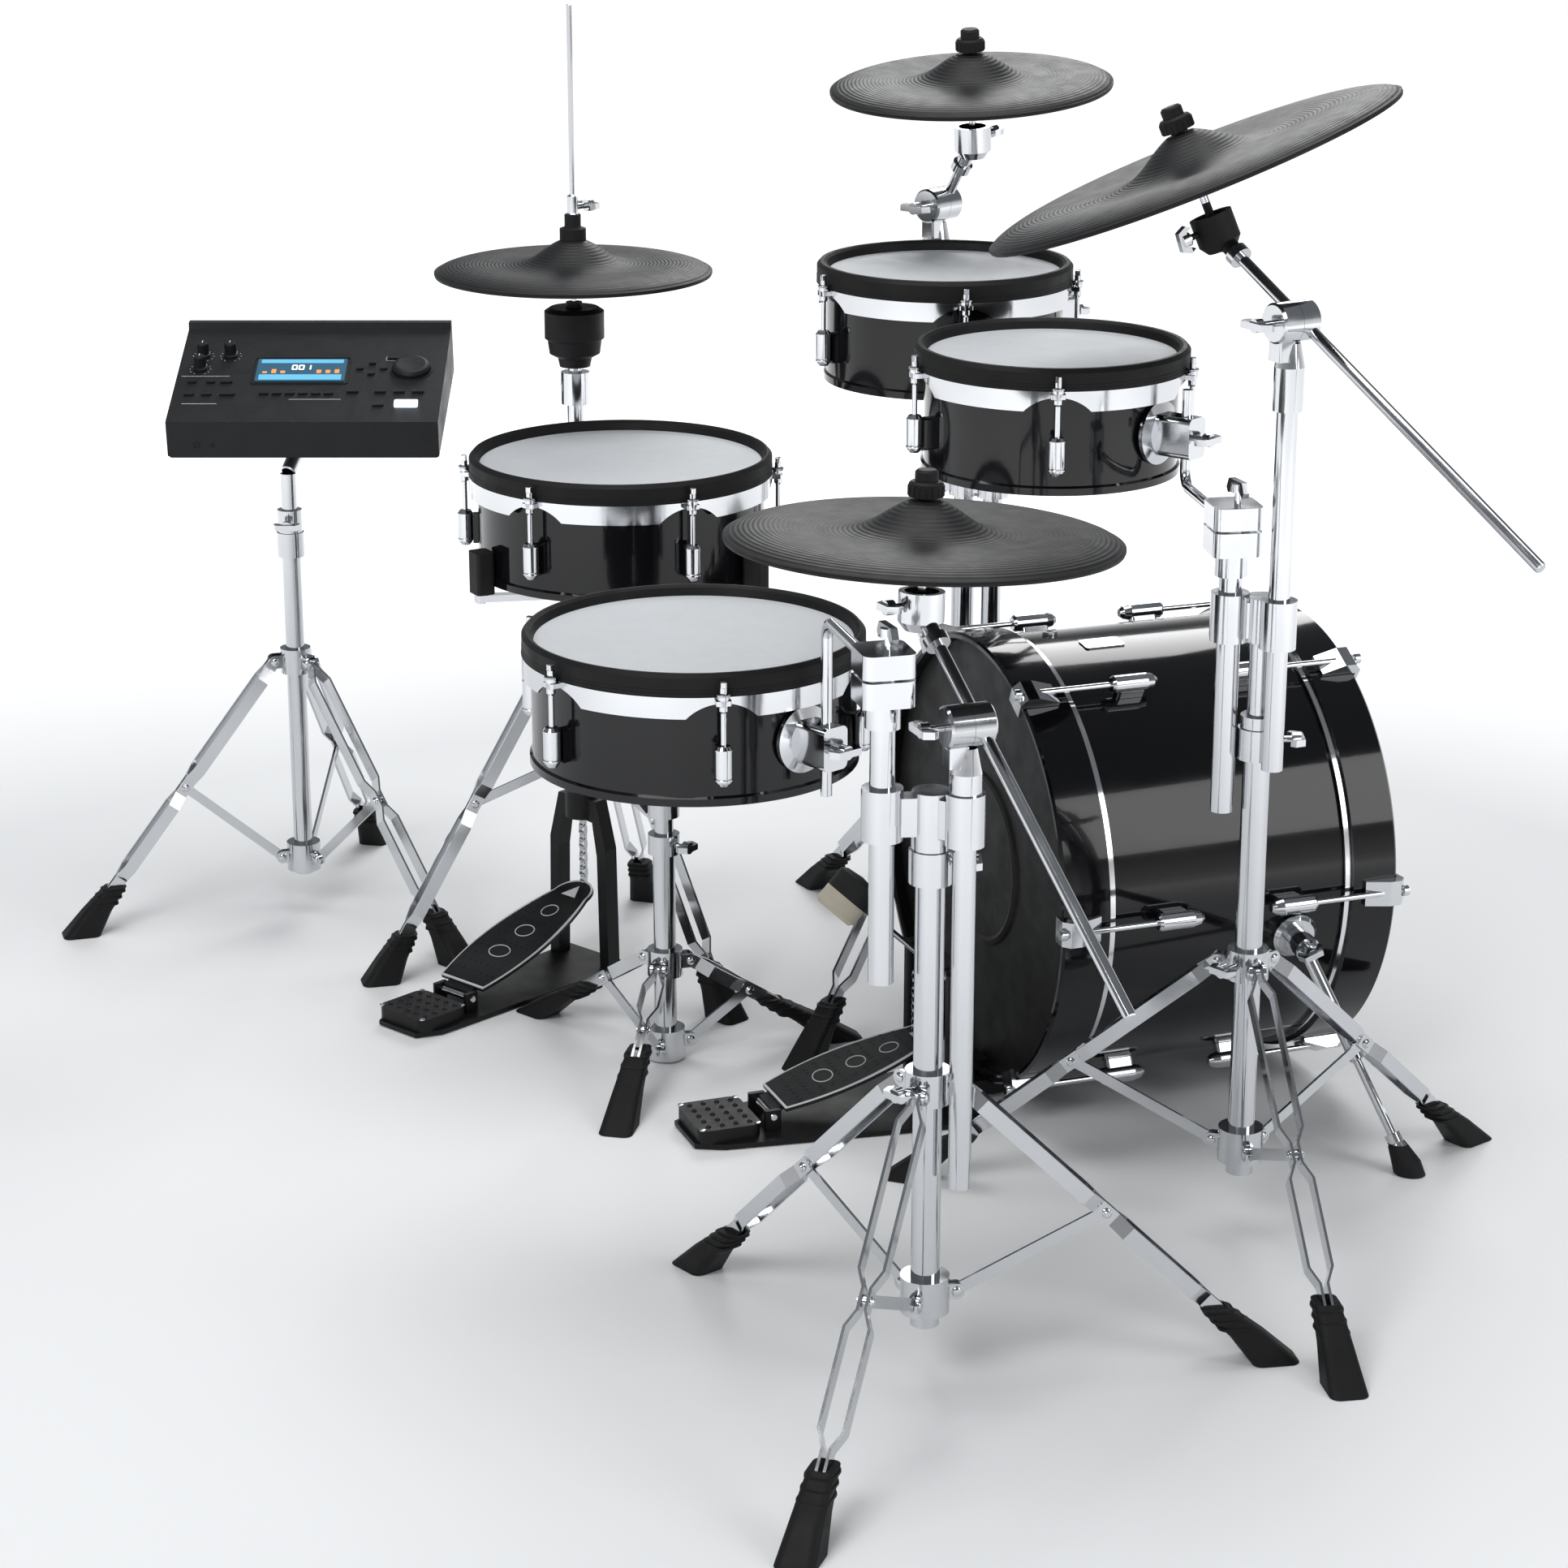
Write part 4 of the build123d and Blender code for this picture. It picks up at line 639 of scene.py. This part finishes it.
def two_way(name, centre, lean):
    """The beater: a chromed rod, a black side that faces the drum and a cream felt side behind it."""
    made = Finish(name, (0.6, 0.6, 0.6), 0.3)
    head = near((centre, BEATER_HEAD))(made)
    _, y, z = made.parts(made.place)
    back = made.math("MULTIPLY", made.math("SUBTRACT", y, centre.y), math.cos(lean))
    down = made.math("MULTIPLY", made.math("SUBTRACT", centre.z, z), math.sin(lean))
    felt = made.math("GREATER_THAN", made.math("ADD", back, down), 0.003)
    pile = made.blend(made.noise(60.0, 6.0), (0.52, 0.47, 0.36), (0.66, 0.61, 0.50))
    two_sides = made.blend(felt, DEEP_BLACK, pile)
    made.set("Base Color", made.blend(head, (0.66, 0.67, 0.69), two_sides))
    made.set("Metallic", made.math("SUBTRACT", 1.0, head))
    duller = made.math("MULTIPLY", head, 0.6)
    made.set("Roughness", made.math("ADD", duller, made.spread(made.noise(22.0, 8.0), 0.08, 0.17)))
    made.bump(made.noise(900.0, 3.0), 0.12, 0.0004)
    return made.material


paint("kick_pedal_beater", two_way("beater", BEATER_AT, BEATER_LEAN))

# ---- cymbals -----------------------------------------------------------------------------
BOW_RISE = 9.0
BELL_RISE = 22.0
STEM_BELOW = 62.0
CYMBALS = {
    # name: (x, y, height of the centre, radius, lean of the axis along x and along y)
    "crash_left": (312.0, -122.0, 1019.0, 151.0, -0.073, 0.078),
    "ride": (-542.0, 283.0, 755.0, 170.0, 0.030, -0.043),
    "crash_right": (-322.0, -69.0, 1019.0, 198.0, 0.209, 0.355),
    "hihat": (501.0, 268.0, 812.0, 152.0, 0.0, 0.0),
}
for name, (x, y, z, radius, lean_x, lean_y) in CYMBALS.items():
    axis = Vector((lean_x, lean_y, 1)).normalized()
    body = "hihat_rod" if name == "hihat" else name + "_cymbal"
    paint(name + "_cymbal", grooved(name + "_rubber", at(x, y, z), axis))
    place = basis(at(x, y, z), axis, (1, 0, 0))
    bead = Shape().lathe(
        place, (radius - 1.5, -2.6), (radius + 0.7, -1.8), (radius + 0.7, 0.4), (radius - 1.5, 1.2),
        turns=120,
    )
    bead.piece(name + "_edge_bead", RUBBER, "black_rubber", body)
    if name == "hihat":
        continue
    top = BOW_RISE + BELL_RISE + 3.5
    grips = Shape()
    for k in range(16):
        turn = Matrix.Rotation(2 * math.pi * k / 16, 4, "Z")
        rib = place @ turn @ Matrix.Translation(Vector((14.6, 0, top + 3.2)) * MM)
        grips.lathe(rib, (0, 0), (1.2, 0.6), (1.2, 9.4), (0, 10.4), turns=8)
    grips.piece(name + "_nut_ribs", RUBBER, "black_rubber", name + "_boom")
    cup = at(x, y, z) - axis * STEM_BELOW * MM
    nut = at(x, y, z) + axis * (top + 14) * MM
    felt = at(x, y, z) + axis * (top - 10) * MM
    dark = [(nut, 0.0212), (felt, 0.0145)] + ([(cup, 0.030)] if name == "crash_right" else [])
    paint(name + "_boom", rubber_and_chrome(name + "_boom_finish", near(*dark)))

# ---- tripods -----------------------------------------------------------------------------
TRIPODS = {
    # name: (x, y, foot circle radius, first foot angle, low hub, high hub, tube radius)
    "front_stand": (-614.0, 303.0, 322.0, 19.5, 92.0, 289.0, 12.9),
    "right_stand": (-413.0, -111.0, 342.0, 48.9, 90.0, 276.0, 12.9),
    "rear_stand": (329.0, -129.0, 342.0, 8.0, 90.0, 276.0, 12.9),
    "module_stand": (790.0, 532.0, 271.0, 87.5, 72.0, 317.0, 11.0),
    "snare_stand": (194.0, 272.0, 201.0, 27.3, 19.0, 112.0, 12.0),
    "hihat_stand": (501.0, 268.0, 240.0, 84.0, 246.0, 388.0, 9.5),
}
FOOT_HEIGHT = 56.0


def dome(shape, place, radius=4.8):
    """A rivet head."""
    shape.lathe(
        place, (0, -0.4), (radius, -0.4), (radius, 0.5), (radius * 0.8, 1.6), (radius * 0.4, 2.2),
        (0, 2.3), turns=18,
    )


for name, (x, y, reach, first, low, high, tube) in TRIPODS.items():
    rivets, ridges = Shape(), Shape()
    for number in range(3):
        angle = math.radians(first + 120 * number)
        out = Vector((math.cos(angle), math.sin(angle), 0))
        side = Vector((-math.sin(angle), math.cos(angle), 0))
        top = at(x, y, high) + out * (tube + 15) * MM
        sole = at(x, y) + out * reach * MM
        down = (sole - top).normalized()
        length = (sole - top).length / MM - FOOT_HEIGHT * 0.45 * (sole - top).length / MM / high
        knee = top + down * length * 0.5 * MM
        seat = at(x, y, low) + out * (tube + 15) * MM
        for spot, off in ((top, 8.1), (knee, 4.8), (seat, 4.7)):
            for hand in (-1, 1):
                dome(rivets, basis(spot + side * hand * off * MM, side * hand))
        lean = out * -FOOT_HEIGHT * (reach - tube - 15) / high * MM
        for share, wide, deep in ((0.93, 27.4, 26.4), (0.80, 29.6, 27.0), (0.67, 31.4, 28.2)):
            centre = sole + (lean + Vector((0, 0, FOOT_HEIGHT * MM))) * share
            ridge = basis(centre, (0, 0, 1), -out)
            ridges.frame_strip(ridge, rounded(wide + 1.2, deep + 1.2, 8), 2.4, -1.3, 1.3)
    rivets.piece(name + "_rivets", CHROME, "chrome", ROOT)
    ridges.piece(name + "_foot_ridges", RUBBER, "black_rubber", ROOT)

# ---- drums -------------------------------------------------------------------------------
DRUMS = {
    # name: (x, y, head height, head radius, rubber rim width, lugs, first lug angle)
    "snare": (234.0, 302.0, 659.0, 147.0, 11.0, 6, 128.0),
    "floor_tom": (-259.0, 392.0, 606.0, 147.0, 11.0, 6, 170.0),
    "tom_1": (214.0, -53.0, 841.0, 122.0, 13.0, 5, 166.0),
    "tom_2": (-100.0, -35.0, 812.0, 122.0, 13.0, 5, 158.0),
}
for name, (x, y, z, head, rim, lugs, first) in DRUMS.items():
    centre = Matrix.Translation(at(x, y, z))
    keys, lips = Shape(), Shape()
    for number in range(lugs):
        angle = math.radians(first + 360 / lugs * number)
        reach = head + rim + 6
        post = centre @ Matrix.Translation(Vector((reach * math.cos(angle), reach * math.sin(angle), 0)) * MM)
        keys.plate(post @ Matrix.Rotation(angle, 4, "Z"), rounded(5.6, 5.6, 0.6, steps=2), -1.2, 4.6, 0.5)
        keys.lathe(
            post, (2.6, -8.6), (5.8, -8.6), (6.2, -7.8), (6.2, -7.0), (5.6, -6.2), (2.6, -6.2), turns=24,
        )
        for low in (-58.5, -86.0):
            keys.lathe(post, (7.0, low), (8.35, low), (8.35, low + 1.4), (7.0, low + 1.4), turns=32)
    keys.piece(name + "_key_heads", CHROME, "chrome", name)
    lips.lathe(centre, (head + 0.5, 0.2), (head + 2.2, 0.2), (head + 1.8, 1.4), (head + 0.5, 1.4), turns=96)
    for low in (-4.0, -7.0):
        lips.lathe(
            centre, (head + rim - 0.8, low), (head + rim + 0.35, low - 0.5), (head + rim + 0.35, low - 1.1),
            (head + rim - 0.8, low - 1.6), turns=96,
        )
    lips.piece(name + "_rim_lines", RUBBER, "black_rubber", name)

# ---- sound module ------------------------------------------------------------------------
MODULE_AT = (811.0, 493.0, 606.0)
MODULE_WIDE, MODULE_DEEP = 311.0, 228.0
MODULE_FRONT, MODULE_BACK = 44.0, 62.0
tilt = math.radians(14.0)
face_turn = math.radians(159.8)
facing = Vector((math.cos(face_turn), math.sin(face_turn), 0))
module_y = facing * -math.cos(tilt) + Vector((0, 0, math.sin(tilt)))
module_x = Vector((-facing.y, facing.x, 0))
module = Matrix((module_x, module_y, module_x.cross(module_y))).transposed().to_4x4()
module.translation = at(*MODULE_AT)
slope = math.atan2(MODULE_BACK - MODULE_FRONT, MODULE_DEEP - 18)


def panel(x, y, lift=0.0):
    """The sloping top panel's plane at a place on it, in millimetres from mid depth."""
    height = MODULE_FRONT + (y + MODULE_DEEP / 2 - 4) * (MODULE_BACK - MODULE_FRONT) / (MODULE_DEEP - 18)
    turned = Matrix.Rotation(slope, 4, "X")
    spot = Matrix.Translation(Vector((x, y, height)) * MM)
    return module @ spot @ turned @ Matrix.Translation((0, 0, lift * MM))


SCREEN_AT = (-12, 4)
DIAL_AT = (116, 6)
KNOBS = {"volume": (-130, 38), "mix": (-98, 38), "tone": (-130, 8)}
screen = panel(*SCREEN_AT, 1.95)
SEGMENTS = {0: "abcdef", 1: "bc", 2: "abged", 3: "abgcd"}


def digit(shape, place, value, x, y, wide=5.0, tall=9.0, pen=1.3):
    """One figure drawn with seven strokes."""
    half = tall / 2
    strokes = {
        "a": (x, y + half, wide, pen), "g": (x, y, wide, pen), "d": (x, y - half, wide, pen),
        "f": (x - wide / 2, y + half / 2, pen, half), "b": (x + wide / 2, y + half / 2, pen, half),
        "e": (x - wide / 2, y - half / 2, pen, half), "c": (x + wide / 2, y - half / 2, pen, half),
    }
    for key in SEGMENTS[value]:
        cx, cy, w, h = strokes[key]
        shape.plate(place, rounded(w + pen * 0.2, h + pen * 0.2, pen * 0.3, (cx, cy), 2), 0, 0.16)


SKY = glow("screen_sky", (0.10, 0.34, 0.50), 0.9)
WARM = glow("screen_warm", (0.75, 0.25, 0.07), 0.9)
BRIGHT = glow("screen_white", (0.9, 0.95, 1.0), 1.6)
Shape().plate(screen, rounded(96, 8, 1, (0, 19)), 0, 0.12).piece("screen_header", SKY, "screen", "module")
Shape().plate(screen, rounded(96, 12, 1, (0, -17)), 0, 0.12).piece("screen_footer", SKY, "screen", "module")
figures = Shape()
for slot_x, value in ((-8, 0), (0, 0), (8, 1)):
    digit(figures, screen, value, slot_x, 5)
figures.piece("screen_figures", BRIGHT, "screen", "module")
picture = Shape()
for k in range(9):
    x = -42 + 10.5 * k
    tall = 4 + 5 * abs(math.sin(1.7 * k))
    if abs(x) > 14:
        picture.plate(screen, rounded(5.5, tall, 0.8, (x, -8 + tall / 2), 2), 0, 0.14)
picture.piece("screen_picture", WARM, "screen", "module")
bezel = Shape().frame_strip(panel(*SCREEN_AT), rounded(114, 60, 4), 2.0, 0.0, 1.1)
bezel.piece("screen_bezel", CASE, "module_black", "module")

# Each button's middle, width and depth on the panel.
BUTTONS = [(-50 + 15 * n, -48, 11, 5) for n in range(6)]
BUTTONS += [(-136, -50, 12, 5), (-116, -50, 12, 5), (-92, -50, 18, 5)]
BUTTONS += [(-136, -22, 10, 5), (-114, -22, 10, 5), (-96, -22, 14, 5)]
BUTTONS += [(52, -44, 14, 5), (84, -44, 13, 5), (106, -44, 13, 5)]
BUTTONS += [(128, -44, 14, 5), (84, -74, 13, 5), (96, 32, 18, 5)]
legends = Shape()
for x, y, wide, tall in BUTTONS:
    legends.plate(panel(x, y + tall / 2 + 3.2), rounded(wide * 0.62, 0.8, 0.3, steps=2), 0.0, 0.25)
for x, y in KNOBS.values():
    for k in range(11):
        a = math.radians(-60 + 30 * k)
        tick = panel(x + 12 * math.cos(a), y + 12 * math.sin(a))
        legends.plate(tick, oval(0.55, 0.55, steps=8), 0.0, 0.25)
legends.plate(panel(-122, -70), rounded(40, 0.5, 0.2, steps=2), 0.0, 0.25)
legends.plate(panel(-122, -8), rounded(56, 0.5, 0.2, steps=2), 0.0, 0.25)
legends.plate(panel(10, -60), rounded(60, 0.5, 0.2, steps=2), 0.0, 0.25)
legends.frame_strip(panel(96, 32), rounded(23, 9.5, 2), 0.5, 0.0, 0.3)
legends.piece("panel_legends", WHITE_INK, "module_black", "module")
dial_ring = Shape().lathe(panel(*DIAL_AT), (22.6, 0), (25.2, 0), (24.8, 1.2), (23.0, 1.2), turns=64)
dial_ring.piece("dial_surround", CASE, "module_black", "module")
dial_face = Shape()
for k in range(48):
    turn = Matrix.Rotation(2 * math.pi * k / 48, 4, "Z")
    rib = panel(*DIAL_AT, 0.3) @ turn @ Matrix.Translation(Vector((21.9, 0, 1)) * MM)
    dial_face.lathe(rib, (0, 0), (0.7, 0), (0.7, 3.6), (0, 3.6), turns=6)
finger_rest = panel(*DIAL_AT, 0.3) @ Matrix.Translation(Vector((11, 6, 8.2)) * MM)
dial_face.lathe(finger_rest, (0, 0), (4.2, 0), (4.2, 0.5), (3.4, 0.35), (0, 0.2), turns=28)
dial_face.piece("dial_grip", CASE, "module_black", "module_dial")
for name, (x, y) in KNOBS.items():
    ribs = Shape()
    for k in range(18):
        turn = Matrix.Rotation(2 * math.pi * k / 18, 4, "Z")
        rib = panel(x, y, 0.3) @ turn @ Matrix.Translation(Vector((6.2, 0, 4)) * MM)
        ribs.lathe(rib, (0, 0), (0.55, 0.3), (0.5, 12.4), (0, 12.8), turns=6)
    ribs.piece(name + "_knob_ribs", CASE, "module_black", "module_" + name + "_knob")
    mark = Shape().plate(panel(x, y, 18.35), rounded(0.9, 4.6, 0.3, (0, 2.4), 2), -0.1, 0.2)
    mark.piece(name + "_knob_pointer", WHITE_INK, "module_black", "module_" + name + "_knob")
front_middle = Matrix.Translation(Vector((0, -MODULE_DEEP / 2 + 2.2, 20)) * MM)
front_face = module @ front_middle @ Matrix.Rotation(math.radians(84.5), 4, "X")
jack = Shape()
for x, r in ((-122, 4.6), (-104, 2.6)):
    spot = front_face @ Matrix.Translation(Vector((x, -4, 0.2)) * MM)
    jack.lathe(spot, (r * 0.55, -0.6), (r, -0.6), (r, 0.7), (r * 0.8, 1.1), (r * 0.55, 0.9), turns=28)
jack.piece("front_jacks", MATTE, "matte_black", "module")
seam = Shape()
seam.plate(front_face, rounded(MODULE_WIDE - 8, 0.7, 0.3, (0, -15), 2), -0.3, 0.25)
seam.piece("case_seam", RUBBER, "black_rubber", "module")

# ---- floor -------------------------------------------------------------------------------
# The paper carries painted light: an emission glow that grows with distance, so that it runs into the white
# studio without an edge.
FLOOR_HALF = 9.0
FLOOR_DROP = 0.0006
PAINTED_GLOW_FROM, PAINTED_GLOW_FULL = 1.3, 3.2
corners = [(sx * FLOOR_HALF, sy * FLOOR_HALF, 0) for sx, sy in ((-1, -1), (1, -1), (1, 1), (-1, 1))]
floor_mesh = bpy.data.meshes.new("floor")
floor_mesh.from_pydata(corners, [], [(0, 1, 2, 3)])
floor = bpy.data.objects.new("floor", floor_mesh)
floor.location.z = -FLOOR_DROP
bpy.context.scene.collection.objects.link(floor)
pale = Finish("floor_paper_painted_glow", (0.86, 0.87, 0.88), 0.7)
pale.set("Base Color", pale.blend(pale.noise(1.2, 3.0), (0.83, 0.84, 0.85), (0.87, 0.88, 0.89)))
# painted glow: the floor is no lamp, yet it gives light that grows with distance from the middle of the floor
pale.set("Emission Color", (1.0, 1.0, 1.0, 1.0))
pale.set("Emission Strength", pale.spread(pale.radius(pale.place), 0.0, 0.9, PAINTED_GLOW_FROM, PAINTED_GLOW_FULL))
floor.data.materials.append(pale.material)
